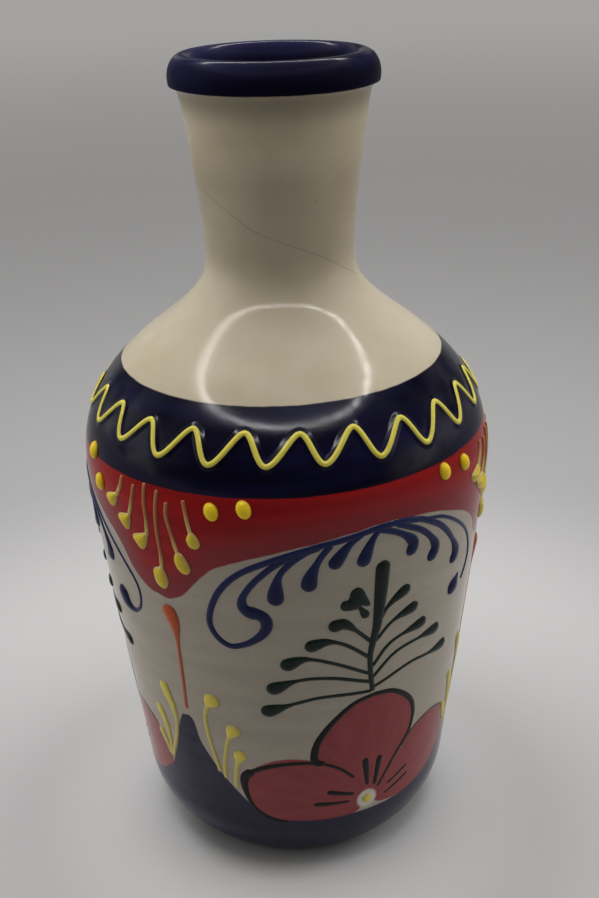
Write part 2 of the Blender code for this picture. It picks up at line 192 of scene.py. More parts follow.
# A slip is full where it lies so many millimetres thick, and a drop's head may have colours of its own
Slip = namedtuple("Slip", "thin thick head_thin head_thick full", defaults=(None, None, 0.9))

# Lip and neck, as they follow from the sizes above
LIP_CENTRE = (LIP_RADIUS - LIP_THICKNESS / 2.0, BOTTLE_HEIGHT - LIP_DEPTH / 2.0)
NECK_TOP_HEIGHT = BOTTLE_HEIGHT - LIP_DEPTH - LIP_COVE
LIP_START_ANGLE = -18.0
LIP_END_ANGLE = 180.0

# Flare is the wall's slope at a knot, and the pulls are shares of the rise to the next knot
WALL_KNOTS = (
    Knot(FOOT_RADIUS, 0.0, 1.00, 0.0, 0.325),
    Knot(HEEL_RADIUS, HEEL_HEIGHT, 0.11, 0.40, 0.33),
    Knot(BELLY_RADIUS, BELLY_HEIGHT, 0.00, 0.16, 0.59),
    Knot(WAIST_RADIUS, WAIST_HEIGHT, 0.00, 0.32, 0.30),
    Knot(NECK_TOP_RADIUS, NECK_TOP_HEIGHT, 0.13, 0.35, 0.0),
)

# A drop is a tail and the outline of the head it hangs in, as (turn, height) from its pendant's middle
DROPS = (
    Drop(
        ((-9.1, 0.1396), (-9.7, 0.1367), (-11.1, 0.1338), (-12.6, 0.1314)),
        ((-16.8, 0.1312), (-14.0, 0.1326), (-11.6, 0.1331), (-11.8, 0.1306), (-13.6, 0.1281),
         (-15.6, 0.1290)),
    ),
    Drop(
        ((-4.2, 0.1386), (-4.9, 0.1341), (-6.2, 0.1297), (-7.6, 0.1262)),
        ((-11.8, 0.1265), (-9.0, 0.1278), (-6.5, 0.1282), (-6.6, 0.1255), (-7.9, 0.1227), (-9.9, 0.1241)),
    ),
    Drop(
        ((-0.2, 0.1402), (-0.3, 0.1346), (0.0, 0.1299), (-0.3, 0.1250), (-1.2, 0.1222)),
        ((-6.2, 0.1218), (-3.2, 0.1234), (-0.3, 0.1243), (-0.7, 0.1212), (-2.6, 0.1180), (-4.6, 0.1194)),
    ),
    Drop(
        ((4.2, 0.1394), (3.6, 0.1329), (3.4, 0.1264), (3.7, 0.1195), (3.2, 0.1120)),
        ((0.2, 0.1124), (1.8, 0.1138), (3.8, 0.1140), (5.0, 0.1098), (4.2, 0.1073), (2.8, 0.1066),
         (0.7, 0.1082)),
    ),
    Drop(
        ((7.3, 0.1366), (7.0, 0.1325), (8.0, 0.1275), (8.9, 0.1230), (9.9, 0.1190)),
        ((8.2, 0.1190), (9.4, 0.1213), (11.4, 0.1201), (12.9, 0.1163), (11.9, 0.1142), (10.2, 0.1144),
         (8.7, 0.1163)),
    ),
    Drop(
        ((12.3, 0.1383), (12.9, 0.1353), (13.5, 0.1314), (14.3, 0.1268)),
        ((12.8, 0.1268), (14.2, 0.1290), (15.8, 0.1276), (16.6, 0.1252), (15.5, 0.1236), (13.8, 0.1239),
         (13.0, 0.1252)),
    ),
)
DOTS_LEFT = {
    "a": ((-26.0, 0.1408), (-20.8, 0.1331)),
    "b": ((-30.5, 0.1388), (-21.1, 0.1378)),
    "c": ((-28.0, 0.1390), (-21.0, 0.1360)),
}
DOTS_RIGHT = ((20.2, 0.1362), (28.7, 0.1377))

# Garland, measured from its panel's middle: the arch with its hook, then the strokes that hang from it
GARLAND_ARCH = (
    (16.0, 0.1274), (10.5, 0.1288), (3.0, 0.1288), (-4.5, 0.1275), (-13.8, 0.1257), (-22.8, 0.1228),
    (-33.3, 0.1173), (-39.8, 0.1098), (-43.2, 0.1003), (-41.9, 0.0944), (-38.0, 0.0912), (-33.7, 0.0922),
    (-30.1, 0.0946), (-27.8, 0.0972), (-27.0, 0.1000), (-27.7, 0.1024), (-29.8, 0.1038), (-32.4, 0.1050),
)
GARLAND_DROPS = (
    ((-12.2, 0.1258), (-21.7, 0.1220), (-28.2, 0.1164), (-32.4, 0.1105), (-33.3, 0.1065), (-31.6, 0.1042),
     (-28.6, 0.1032)),
    ((-15.0, 0.1250), (-20.0, 0.1211), (-23.4, 0.1160), (-24.5, 0.1068)),
    ((-9.5, 0.1262), (-12.6, 0.1218), (-15.0, 0.1160), (-15.6, 0.1112)),
    ((-1.0, 0.1282), (-5.2, 0.1248), (-9.6, 0.1182)),
    ((3.8, 0.1289), (1.1, 0.1246), (-1.5, 0.1172)),
    ((2.0, 0.1287), (9.0, 0.1256), (14.0, 0.1208), (13.1, 0.1164)),
    ((8.0, 0.1289), (17.5, 0.1230), (22.6, 0.1162), (20.9, 0.1112)),
    ((14.0, 0.1279), (17.5, 0.1268), (24.8, 0.1216), (30.5, 0.1148), (33.4, 0.1089), (31.5, 0.1052)),
)
HOOKED_TENDRIL = (
    Stroke(
        ((18.0, 0.1268), (25.0, 0.1240), (33.0, 0.1180), (41.0, 0.1108), (46.4, 0.1047), (47.8, 0.1000),
         (46.6, 0.0948), (43.4, 0.0918), (40.0, 0.0920), (37.8, 0.0942), (36.9, 0.0980)),
        TENDRIL_WIDTH, TENDRIL_HEAD_WIDTH, TENDRIL_HEAD,
    ),
)
GARLAND_TENDRILS = {
    "a": (
        Stroke(
            ((18.0, 0.1268), (25.0, 0.1246), (33.5, 0.1188), (40.2, 0.1118), (43.8, 0.1035), (42.4, 0.0978),
             (40.3, 0.0950)),
            TENDRIL_WIDTH, TENDRIL_WIDTH, TENDRIL_HEAD,
        ),
        Stroke(
            ((37.4, 0.0990), (35.4, 0.0962), (33.0, 0.0932)),
            TENDRIL_WIDTH, TENDRIL_HEAD_WIDTH, TENDRIL_HEAD,
        ),
    ),
    "b": HOOKED_TENDRIL,
    "c": HOOKED_TENDRIL,
}

# Fern, measured from its panel's middle: the stem from its foot up, then the leaves from the stem out
FERN_STEM = (
    (4.1, 0.0703), (3.0, 0.0773), (2.5, 0.0847), (3.4, 0.0913), (4.1, 0.0957), (4.6, 0.1066), (4.9, 0.1177),
)
FERN_LEAVES = (
    ((4.4, 0.0955), (7.6, 0.1014), (14.2, 0.1058)),
    ((3.8, 0.0893), (9.2, 0.0950), (18.0, 0.0977)),
    ((3.2, 0.0800), (9.6, 0.0874), (22.2, 0.0901)),
    ((3.3, 0.0755), (11.0, 0.0826), (20.5, 0.0840), (29.3, 0.0838)),
    ((3.7, 0.0718), (16.5, 0.0758), (26.0, 0.0752), (35.0, 0.0748)),
    ((3.2, 0.0888), (-2.6, 0.0954), (-6.3, 0.0983), (-10.3, 0.0975)),
    ((2.6, 0.0835), (-4.8, 0.0902), (-10.6, 0.0926), (-16.9, 0.0912)),
    ((2.8, 0.0775), (-7.8, 0.0839), (-16.7, 0.0870), (-23.8, 0.0843)),
    ((3.2, 0.0743), (-8.7, 0.0787), (-18.6, 0.0792), (-28.2, 0.0752)),
    ((3.8, 0.0706), (-10.5, 0.0719), (-18.8, 0.0706), (-30.4, 0.0665)),
)
FERN_BLOB = (
    (-7.2, 0.1049), (-6.4, 0.1065), (-4.8, 0.1070), (-4.2, 0.1094), (-2.6, 0.1106), (-0.9, 0.1097),
    (0.5, 0.1067), (1.7, 0.1036), (0.9, 0.1030), (-0.7, 0.1037), (-1.7, 0.1028), (-3.2, 0.1026),
    (-5.1, 0.1027), (-6.7, 0.1034),
)
FERN_STUB = ((-1.6, 0.1034), (0.9, 0.0990))
FLOWER_BEAD = (4.7, 0.0255)

# Flame stroke under a pendant and the sprigs beside it, measured from the pendant's middle
FLAME = ((3.4, 0.0613), (4.2, 0.0748), (4.7, 0.0890), (4.3, 0.0954), (2.6, 0.1008))
SPRIGS = {
    "left": (
        Stroke(
            ((-8.8, 0.0355), (-4.7, 0.0451), (-2.5, 0.0535), (-2.9, 0.0591), (-4.4, 0.0635),
             (-6.0, 0.0682)),
            SPRIG_WIDTH, 0.0042, BLADE_HEAD,
        ),
        Stroke(
            ((-9.2, 0.0355), (-8.3, 0.0420), (-8.5, 0.0479), (-9.7, 0.0526), (-11.6, 0.0564)),
            SPRIG_WIDTH, 0.0036, BLADE_HEAD,
        ),
        Stroke(
            ((-9.8, 0.0358), (-10.7, 0.0394), (-11.9, 0.0424), (-13.5, 0.0454)),
            SPRIG_WIDTH, 0.0032, BLADE_HEAD,
        ),
    ),
    "right": (
        Stroke(
            ((13.2, 0.0384), (12.2, 0.0441), (10.8, 0.0520), (10.4, 0.0590), (11.6, 0.0645),
             (15.2, 0.0704)),
            SPRIG_WIDTH, 0.0056, BUD_HEAD,
        ),
        Stroke(
            ((15.2, 0.0362), (15.2, 0.0415), (16.4, 0.0480), (17.9, 0.0534), (21.0, 0.0596)),
            SPRIG_WIDTH, 0.0050, BUD_HEAD,
        ),
        Stroke(
            ((18.6, 0.0332), (19.1, 0.0389), (19.9, 0.0434), (22.0, 0.0497)),
            SPRIG_WIDTH, 0.0045, BUD_HEAD,
        ),
    ),
}

# Painted bands: heights of their edges, with how far an edge tilts for each metre across
LIP_PAINT_HEIGHT = 0.2414
CREAM_EDGE_HEIGHT = 0.1626
CREAM_EDGE_TILT = 0.011
RED_EDGE_HEIGHT = 0.1410
RED_EDGE_TILT = 0.020
CLAY_HEIGHT = 0.0006

# The red band's lower edge, as (share of the way from one pendant to the next, height)
RED_SCALLOP = (
    (0.000, 0.1040), (0.034, 0.1033), (0.069, 0.1053), (0.091, 0.1076), (0.139, 0.1144), (0.186, 0.1189),
    (0.253, 0.1222), (0.366, 0.1261), (0.472, 0.1286), (0.559, 0.1299), (0.659, 0.1287), (0.721, 0.1270),
    (0.800, 0.1230), (0.877, 0.1170), (0.925, 0.1085), (0.974, 0.1043), (1.000, 0.1040),
)

# The base band's upper edge, as (turn from the pendant's middle, height)
BASE_PEAK = (
    (-60.0, 0.0205), (-35.0, 0.0210), (-20.0, 0.0240), (-13.0, 0.0290), (-9.6, 0.0325), (-4.9, 0.0424),
    (-1.9, 0.0513), (0.5, 0.0570), (2.2, 0.0582), (5.0, 0.0576), (7.5, 0.0487), (12.3, 0.0402),
    (18.2, 0.0325), (27.0, 0.0243), (38.0, 0.0210), (60.0, 0.0205),
)

# The flower, measured from its panel's middle: petal outlines, then the black lines drawn on them
PETALS = (
    (
        (4.2, 0.0262), (1.0, 0.0335), (-7.6, 0.0427), (-14.3, 0.0443), (-14.2, 0.0495), (-12.5, 0.0552),
        (-8.0, 0.0617), (-1.7, 0.0671), (4.9, 0.0687), (11.7, 0.0671), (18.4, 0.0615), (21.4, 0.0549),
        (20.5, 0.0471), (16.3, 0.0411), (12.6, 0.0345), (8.6, 0.0268),
    ),
    (
        (3.6, 0.0262), (1.2, 0.0345), (-7.6, 0.0434), (-14.0, 0.0464), (-20.7, 0.0475), (-27.2, 0.0468),
        (-34.0, 0.0434), (-38.0, 0.0380), (-38.3, 0.0320), (-35.6, 0.0255), (-29.0, 0.0205),
        (-18.4, 0.0195), (-4.4, 0.0198), (1.5, 0.0215),
    ),
    (
        (6.6, 0.0258), (9.0, 0.0292), (12.2, 0.0345), (17.6, 0.0413), (24.3, 0.0477), (33.0, 0.0490),
        (41.5, 0.0456), (46.8, 0.0324), (40.1, 0.0238), (26.2, 0.0208), (11.0, 0.0215),
    ),
)
FLOWER_LINES = (
    Stroke(
        ((-11.0, 0.0446), (-14.1, 0.0458), (-14.4, 0.0497), (-12.7, 0.0552), (-8.0, 0.0619), (-1.7, 0.0673),
         (4.9, 0.0689)),
        0.0028, 0.0020,
    ),
    Stroke(
        ((4.0, 0.0690), (11.7, 0.0674), (18.7, 0.0615), (21.6, 0.0549), (20.7, 0.0471), (16.3, 0.0411),
         (12.4, 0.0350), (8.8, 0.0288)),
        0.0022, 0.0015,
    ),
    Stroke(
        ((-0.6, 0.0362), (-5.9, 0.0414), (-12.6, 0.0449), (-20.8, 0.0457), (-29.0, 0.0442),
         (-36.6, 0.0408)),
        0.0015, 0.0022,
    ),
    Stroke(
        ((-24.0, 0.0203), (-30.3, 0.0217), (-35.8, 0.0264), (-38.2, 0.0331), (-37.9, 0.0386),
         (-34.8, 0.0418)),
        0.0016, 0.0033, PETAL_LINE_HEAD,
    ),
    Stroke(((17.3, 0.0416), (23.8, 0.0477), (33.0, 0.0490), (41.5, 0.0458)), 0.0012, 0.0011),
    Stroke(((4.6, 0.0312), (3.0, 0.0433)), 0.0018, 0.0026),
    Stroke(((7.4, 0.0303), (8.8, 0.0424)), 0.0017, 0.0024),
    Stroke(((-0.3, 0.0290), (-10.2, 0.0322)), 0.0016, 0.0023),
    Stroke(((-2.0, 0.0263), (-14.8, 0.0275)), 0.0015, 0.0022),
    Stroke(((13.0, 0.0282), (21.8, 0.0321)), 0.0013, 0.0016),
    Stroke(((12.0, 0.0245), (22.7, 0.0283)), 0.0013, 0.0016),
)
FLOWER_WALL = 0.0560
BEAD_RING_RADIUS = 0.0037

# A hairline in the neck's glaze, as (turn, height)
HAIRLINE = (
    (-75.0, 0.2150), (-53.6, 0.2125), (-34.1, 0.2082), (-19.4, 0.2044), (-0.9, 0.2013), (27.6, 0.1964),
    (49.0, 0.1918), (77.5, 0.1859),
)

# Camera, as fitted to the photograph's outline, for a frame of 599 by 898 pixels
CAMERA_PLACE = (0.0, -0.3555, 0.2886)
CAMERA_PITCH = 24.40
CAMERA_YAW = 0.66
CAMERA_ROLL = -1.67
CAMERA_LENS = 48.75
CAMERA_SENSOR = 36.0
CAMERA_CLIP = 0.01

# How the glaze mirrors: less than glass, less still on the lip's crest, and dully on the lip's sides
GLAZE_IOR = 1.25
LIP_IOR = 1.15
LIP_SIDE_IOR = 1.08
LIP_SIDE_ROUGHNESS = 0.40
LIP_SIDE_SPREAD = (1.6, 2.8)
LIP_SPREAD = (-0.5, 0.5)
CLAY_ROUGHNESS = 0.75

# Roughness by noise, and the fine relief: its grains to a metre, its strength and its height
GLAZE_GRAINS = 60.0
GLAZE_ROUGHNESS = (0.30, 0.70, 0.11, 0.18)
GLAZE_RELIEF = (330.0, 0.06, 0.0004)
SLIP_GRAINS = 200.0
SLIP_ROUGHNESS = (0.30, 0.70, 0.09, 0.17)
SLIP_RELIEF = (900.0, 0.10, 0.0002)

# Coats of glaze and paint. The petals' grains are in their stretch: to a radian around the bead, and to a
# millimetre out from it
PETAL_STREAK = (9.0, 0.06, 1.0)
CREAM_COAT = Coat(32.0, 0.32, 0.70, (0.499, 0.428, 0.304), (0.594, 0.524, 0.391), EVEN)
GROUND_COAT = Coat(210.0, 0.30, 0.72, (0.398, 0.356, 0.290), (0.449, 0.405, 0.334))
NAVY_COAT = Coat(170.0, 0.35, 0.75, (0.0040, 0.0035, 0.0130), (0.0095, 0.0085, 0.0370))
RED_COAT = Coat(190.0, 0.30, 0.75, (0.280, 0.0036, 0.0045), (0.395, 0.0080, 0.0090))
BASE_COAT = Coat(150.0, 0.30, 0.75, (0.0130, 0.0120, 0.0330), (0.0295, 0.0280, 0.0580))
PETAL_COAT = Coat(1.0, 0.30, 0.72, (0.268, 0.0500, 0.0525), (0.304, 0.0620, 0.0655), PETAL_STREAK)
CLAY_COAT = Coat(900.0, 0.30, 0.70, (0.42, 0.31, 0.22), (0.56, 0.44, 0.32), EVEN, 5.0)
BEAD_RING_COLOUR = (0.640, 0.600, 0.520)

# Shades over the coats: by millimetres from a painted edge, or by noise
HAIRLINE_SHADE = Shade(0.05, 0.40, 0.28, 0.0, (0.20, 0.17, 0.13))
SPECK_GRAINS = 260.0
SPECK_SHADE = Shade(0.800, 0.820, 0.0, 0.5, (0.20, 0.16, 0.11))
CLOUD_GRAINS = 38.0
CLOUD_SHADE = Shade(0.35, 0.70, 0.0, 0.6, (0.430, 0.380, 0.305))
DUST_GRAINS = 1300.0
DUST_SHADE = Shade(0.40, 0.65, 0.0, 0.16, (0.330, 0.285, 0.225))
RED_SHADE = Shade(1.0, 13.0, 0.75, 0.0, (0.215, 0.0380, 0.0430))
BASE_SHADE = Shade(-9.0, 0.0, 0.0, 0.35, (0.0410, 0.0400, 0.0690))
PETAL_SHADE = Shade(-3.0, 0.0, 0.0, 0.45, (0.245, 0.0420, 0.0455))

# The cream's painted shadow close under the lip and painted shade around the neck's middle, by millimetres
# above the lip's edge
LIP_PAINTED_SHADOW = (-10.0, -1.5, 0.0, 0.55)
NECK_PAINTED_SHADE_TOP = (-26.0, -14.0, 0.25, 0.0)
NECK_PAINTED_SHADE_FOOT = (-54.0, -44.0)
# The dark colour that the painted shade mixes into the cream
CREAM_PAINTED_SHADE_COLOUR = (0.130, 0.112, 0.078)

# How softly each painted edge ends, and how far the brush let it sway
EDGE_GRAINS = 130.0
EDGES = {
    "glazed": Edge(0.20, 0.20),
    "petal": Edge(0.25, 0.50),
    "bead_ring": Edge(0.60, 0.40),
    "base": Edge(0.22, 0.35),
    "red": Edge(0.25, 0.45),
    "navy": Edge(0.22, 0.35),
    "cream": Edge(0.15, 0.20),
    "lip": Edge(0.20, 0.30),
}

# Slips, the clouds in them, and where a drop takes its head's colours, in millimetres below the head's top
SLIPS = {
    "yellow_slip_glazed": Slip((0.60, 0.52, 0.090), (0.80, 0.700, 0.110)),
    "golden_slip_glazed": Slip((0.62, 0.42, 0.030), (0.95, 0.680, 0.025)),
    "ochre_slip_glazed": Slip(
        (0.42, 0.17, 0.080), (0.52, 0.24, 0.085), (0.72, 0.62, 0.330), (0.74, 0.570, 0.045),
    ),
    "blue_slip_glazed": Slip((0.020, 0.028, 0.100), (0.007, 0.011, 0.050)),
    "green_slip_glazed": Slip((0.018, 0.030, 0.025), (0.007, 0.014, 0.011)),
    "bead_slip_glazed": Slip((0.60, 0.50, 0.12), (0.72, 0.62, 0.12)),
    "black_line_glazed": Slip((0.012, 0.010, 0.010), (0.008, 0.006, 0.006), full=0.2),
    "orange_slip_glazed": Slip((0.46, 0.115, 0.060), (0.52, 0.095, 0.028)),
    "pale_yellow_slip_glazed": Slip((0.54, 0.47, 0.190), (0.78, 0.64, 0.085)),
}
SLIP_CLOUD_GRAINS = 420.0
SLIP_CLOUDS = (0.30, 0.70, -0.15, 0.15)
HEAD_SPREAD = (-7.0, 0.5)

# The lamp overhead, and its face that only the glaze mirrors: a bright rim, broken on the right
LAMP_PLACE = (0.0, 0.12, 0.50)
LAMP_RADIUS = 0.27
LAMP_POWER = 1.8
RING_PLACE = (0.0, -0.010, 0.498)
RING_SIDES = 96
RING_WIDTH = 0.018
RING_SOFTNESS = 0.006
RING_STRENGTH = 30.0
DISC_STRENGTH = 0.85
BREAK_SPREAD = (0.02, 0.20)
BREAK_GRAINS = 42.0
BREAK_EDGES = (0.42, 0.58)
BREAK_DEPTHS = (0.9, -0.6)

# The room's light, the patches in it that the glaze mirrors, and the plain sky that the camera sees
LIGHT_FROM = (0.50, 0.66, 0.50)
LIGHT_SPREAD = (-0.12, 0.92)
FRONT_LIGHT = 0.01
BACK_LIGHT = 0.70
SIDE_LIGHT = 1.6
SIDE_SPREAD = (0.76, 1.0)
ROOM_PATCHES = 3.0
PATCH_EDGES = (0.35, 0.65)
ROOM_GLOSS = (0.0, 0.65)
LIGHT_COLOUR = (1.0, 0.99, 0.975)
SKY_COLOUR = (0.370, 0.363, 0.356)

# The floor, and its mottle
FLOOR_SIZE = 12.0
FLOOR_ROUGHNESS = 0.6
FLOOR_GRAINS = 9.0
FLOOR_MOTTLE = Shade(0.30, 0.70, 0.0, 0.04, (0.560, 0.556, 0.558))

# The floor's colour before the foot, a painted contact shadow, and the rings over which it turns to others
# further out
# The rings centre a little in front of the bottle, so that the painted shadow lies mostly in front of the
# foot
FLOOR_PAINTED_LIGHT_CENTRE = (-0.005, -0.020, 0.0)
FLOOR_PAINTED_SHADOW = (0.420, 0.412, 0.405)
# The rings are painted light and shade: a brighter ring beside the foot, darker out to 0.3 m, paler again
# far off
FLOOR_PAINTED_LIGHT_RINGS = (
    Shade(0.025, 0.038, 0.0, 1.0, (0.860, 0.854, 0.850)),
    Shade(0.042, 0.095, 0.0, 1.0, (0.550, 0.546, 0.548)),
    Shade(0.150, 0.300, 0.0, 1.0, (0.410, 0.406, 0.408)),
    Shade(0.300, 3.000, 0.0, 1.0, (0.670, 0.663, 0.660)),
)


# Shapes and objects that all pieces share

def bezier_run(lower, upper):
    """Return the wall's (radius, height) points from one knot to just short of the next."""
    rise = upper.height - lower.height
    start = Vector((lower.radius, lower.height))
    end = Vector((upper.radius, upper.height))
    start_pull = Vector((lower.flare, 1.0)) * (lower.pull_above * rise)
    end_pull = Vector((upper.flare, 1.0)) * (upper.pull_below * rise)
    points = interpolate_bezier(start, start + start_pull, end - end_pull, end, FINE_STEPS + 1)
    return [tuple(point) for point in points[:-1]]


def outer_wall():
    """Return the outer wall's points from the foot up to the neck's top."""
    points = []
    for lower, upper in zip(WALL_KNOTS, WALL_KNOTS[1:]):
        points += bezier_run(lower, upper)
    points.append((NECK_TOP_RADIUS, NECK_TOP_HEIGHT))
    return np.array(points)


FINE_RADII, FINE_HEIGHTS = outer_wall().T


def wall_radius(heights):
    return np.interp(heights, FINE_HEIGHTS, FINE_RADII)


def wall_slope(heights):
    """Return how fast the wall's radius grows with height."""
    above = wall_radius(heights + SLOPE_REACH)
    below = wall_radius(heights - SLOPE_REACH)
    return (above - below) / (2.0 * SLOPE_REACH)


def wall_frames(route):
    """Return the points on the wall along a route of (turn, height), and the directions out of the wall."""
    angles = np.radians(route[:, 0])
    heights = route[:, 1]
    radii = wall_radius(heights)
    points = np.stack((radii * np.sin(angles), -radii * np.cos(angles), heights), axis=1)
    normals = np.stack((np.sin(angles), -np.cos(angles), -wall_slope(heights)), axis=1)
    return points, normals / np.linalg.norm(normals, axis=1)[:, None]


def smooth_route(points, closed=False):
    """Return a smooth curve through the given points."""
    points = np.array(points)
    before = points[-1:] if closed else 2.0 * points[:1] - points[1:2]
    after = points[:2] if closed else 2.0 * points[-1:] - points[-2:-1]
    ring = np.vstack((before, points, after))
    share = np.linspace(0.0, 1.0, FINE_STEPS, endpoint=False)[:, None]
    runs = []
    for p0, p1, p2, p3 in zip(ring, ring[1:], ring[2:], ring[3:]):
        bend = (2.0 * p0 - 5.0 * p1 + 4.0 * p2 - p3) * share**2
        twist = (3.0 * (p1 - p2) + p3 - p0) * share**3
        runs.append(0.5 * (2.0 * p1 + (p2 - p0) * share + bend + twist))
    return np.vstack(runs + [points[:1] if closed else points[-1:]])


def run_lengths(points):
    """Return the length run at each point of a line."""
    gaps = np.linalg.norm(np.diff(points, axis=0), axis=1)
    return np.concatenate(((0.0,), np.cumsum(gaps)))


def sampled(points, run, stations):
    """Return a line's points at the given lengths along its run."""
    return np.stack([np.interp(stations, run, column) for column in points.T], axis=1)


def resampled(points, step):
    """Return a line's points at even steps."""
    run = run_lengths(points)
    return sampled(points, run, np.linspace(0.0, run[-1], int(np.ceil(run[-1] / step)) + 1))


def ring_faces(rings, size, closed=False):
    """Return the faces between rings of points in turn, and from the last back to the first if closed."""
    faces = []
    for ring in range(rings if closed else rings - 1):
        here = ring * size
        there = (ring + 1) % rings * size
        for corner in range(size):
            following = (corner + 1) % size
            faces.append((here + corner, here + following, there + following, there + corner))
    return faces


def mesh_from(name, vertices, faces):
    """Return a mesh of the given faces, with doubled points merged, all facing out and shaded smooth."""
    mesh = bpy.data.meshes.new(name)
    mesh.from_pydata([tuple(vertex) for vertex in vertices], [], faces)
    shape = bmesh.new()
    shape.from_mesh(mesh)
    bmesh.ops.remove_doubles(shape, verts=shape.verts, dist=MERGE_DISTANCE)
    bmesh.ops.recalc_face_normals(shape, faces=shape.faces)
    shape.to_mesh(mesh)
    shape.free()
    mesh.shade_smooth()
    return mesh


def mesh_points(mesh):
    points = np.zeros(len(mesh.vertices) * 3, np.float32)
    mesh.vertices.foreach_get("co", points)
    return points.reshape(-1, 3).astype(float)


def set_attribute(mesh, name, values):
    """Keep one number for each point of a mesh, for its material to read."""
    attribute = mesh.attributes.new(name, "FLOAT", "POINT")
    attribute.data.foreach_set("value", np.asarray(values, np.float32))


def add_object(name, data):
    """Add an object to the scene."""
    made = bpy.data.objects.new(name, data)
    bpy.context.scene.collection.objects.link(made)
    return made


# Clay shell

def lip_arc():
    """Return the rolled lip's points, from under its outer side over the crest to its inner side."""
    angles = np.radians(np.linspace(LIP_START_ANGLE, LIP_END_ANGLE, LIP_STEPS + 1))
    radii = LIP_CENTRE[0] + LIP_THICKNESS / 2.0 * np.cos(angles)
    heights = LIP_CENTRE[1] + LIP_DEPTH / 2.0 * np.sin(angles)
    return np.stack((radii, heights), axis=1)


def cove_curve():
    """Return the points from the lip's underside down to the neck's top, without its ends."""
    neck = Vector((NECK_TOP_RADIUS, NECK_TOP_HEIGHT))
    lip = Vector(lip_arc()[0])
    neck_pull = Vector((WALL_KNOTS[-1].flare, 1.0)) * NECK_REACH
    lip_pull = Vector((LIP_OVERHANG, LIP_OVERHANG_FALL))
    curve = interpolate_bezier(lip, lip - lip_pull, neck + neck_pull, neck, LIP_STEPS // 2)
    return np.array([tuple(point) for point in curve[1:-1]])


def inside_profile():
    """Return the inside's points, from the axis over the floor's fillet up to the neck's top."""
    fillet_top = FLOOR + FLOOR_FILLET
    heights = np.arange(fillet_top, NECK_TOP_HEIGHT, INSIDE_STEP)
    heights = np.append(heights, NECK_TOP_HEIGHT)
    radii = wall_radius(heights) - WALL * np.hypot(1.0, wall_slope(heights))
    angles = np.radians(np.linspace(-90.0, 0.0, FLOOR_FILLET_STEPS, endpoint=False))
    fillet_radii = radii[0] - FLOOR_FILLET + FLOOR_FILLET * np.cos(angles)
    fillet_heights = fillet_top + FLOOR_FILLET * np.sin(angles)
    floor = resampled(np.array(((0.0, FLOOR), (fillet_radii[0], FLOOR))), INSIDE_STEP)[:-1]
    fillet = np.stack((fillet_radii, fillet_heights), axis=1)
    return np.vstack((floor, fillet, np.stack((radii, heights), axis=1)))


def underside_profile():
    """Return the foot's points, from its rounded outer edge in to the axis."""
    ring_radius = FOOT_RADIUS - FOOT_RING_WIDTH
    recess_radius = ring_radius - FOOT_RECESS
    foot = ((FOOT_RADIUS - FOOT_EDGE, 0.0), (ring_radius, 0.0), (recess_radius, FOOT_RECESS))
    recess = resampled(np.array(((recess_radius, FOOT_RECESS), (0.0, FOOT_RECESS))), INSIDE_STEP)[1:]
    return np.vstack((foot, recess))


def shell_profile():
    """Return the shell's section, from the axis inside, over the lip and down to the axis below."""
    outside = resampled(np.flipud(outer_wall()), WALL_STEP)
    outside = outside[outside[:, 1] > FOOT_EDGE / 2.0]
    return np.vstack((inside_profile(), np.flipud(lip_arc()), cove_curve(), outside, underside_profile()))


def shell_mesh():
    """Return the section turned around the axis."""
    profile = shell_profile()
    angles = np.linspace(0.0, 2.0 * np.pi, SHELL_SEGMENTS, endpoint=False)
    radii = profile[:, 0][:, None]
    rings = np.stack((
        radii * np.sin(angles),
        -radii * np.cos(angles),
        np.broadcast_to(profile[:, 1][:, None], (len(profile), SHELL_SEGMENTS)),
    ), axis=2)
    faces = ring_faces(len(profile), SHELL_SEGMENTS)
    return mesh_from("bottle_body_painted", rings.reshape(-1, 3), faces)


# Painted edges, as signed distances in millimetres that the body's material reads

def wrapped(turns):
    """Return turns brought between -180 and 180 degrees."""
    return (turns + 180.0) % 360.0 - 180.0


def edge_distance(turns, heights, edge):
    """Return how far points lie above an edge of (turn, height) points, measured square to the edge."""
    edge_turns, edge_heights = edge.T
    slope = np.gradient(edge_heights, edge_turns) / (np.radians(1.0) * wall_radius(edge_heights))
    lean = np.hypot(1.0, np.interp(turns, edge_turns, slope))
    return (heights - np.interp(turns, edge_turns, edge_heights)) / lean / MM


def scallop_distance(turns, heights):
    """Return how far points lie above the red band's lower edge."""
    pendants = sorted(PENDANT_TURNS.values())
    curve = smooth_route(RED_SCALLOP)
    edge = []
    for start, end in zip(pendants, pendants[1:] + [pendants[0] + 360.0]):
        edge.append(np.stack((start + (end - start) * curve[:-1, 0], curve[:-1, 1]), axis=1))
    edge = np.vstack(edge)
    return edge_distance((turns - pendants[0]) % 360.0 + pendants[0], heights, edge)


def base_distance(turns, heights):
    """Return how far points lie above the base band's upper edge."""
    edge = smooth_route(BASE_PEAK)
    distances = []
    for pendant in PENDANT_TURNS.values():
        offset = np.clip(wrapped(turns - pendant), edge[0, 0], edge[-1, 0])
        distances.append(edge_distance(offset, heights, edge))
    return np.min(distances, axis=0)


def outline_distance(points, outline):
    """Return points' distances to a closed outline on a plane, below zero inside it."""
    nearest = np.full(len(points), np.inf)
    crossings = np.zeros(len(points), bool)
    for start, end in zip(outline, np.roll(outline, -1, axis=0)):
        side = end - start
        share = np.clip((points - start) @ side / max(side @ side, TINY), 0.0, 1.0)
        nearest = np.minimum(nearest, np.linalg.norm(points - start - share[:, None] * side, axis=1))
        spans = (start[1] > points[:, 1]) != (end[1] > points[:, 1])
        rise = side[1] if side[1] else TINY
        crossings ^= spans & (points[:, 0] < start[0] + side[0] * (points[:, 1] - start[1]) / rise)
    return np.where(crossings, -nearest, nearest)


def flower_plane(turns, heights):
    """Return points unrolled onto a plane at the flower's wall, in metres."""
    return np.stack((np.radians(turns) * FLOWER_WALL, heights), axis=1)


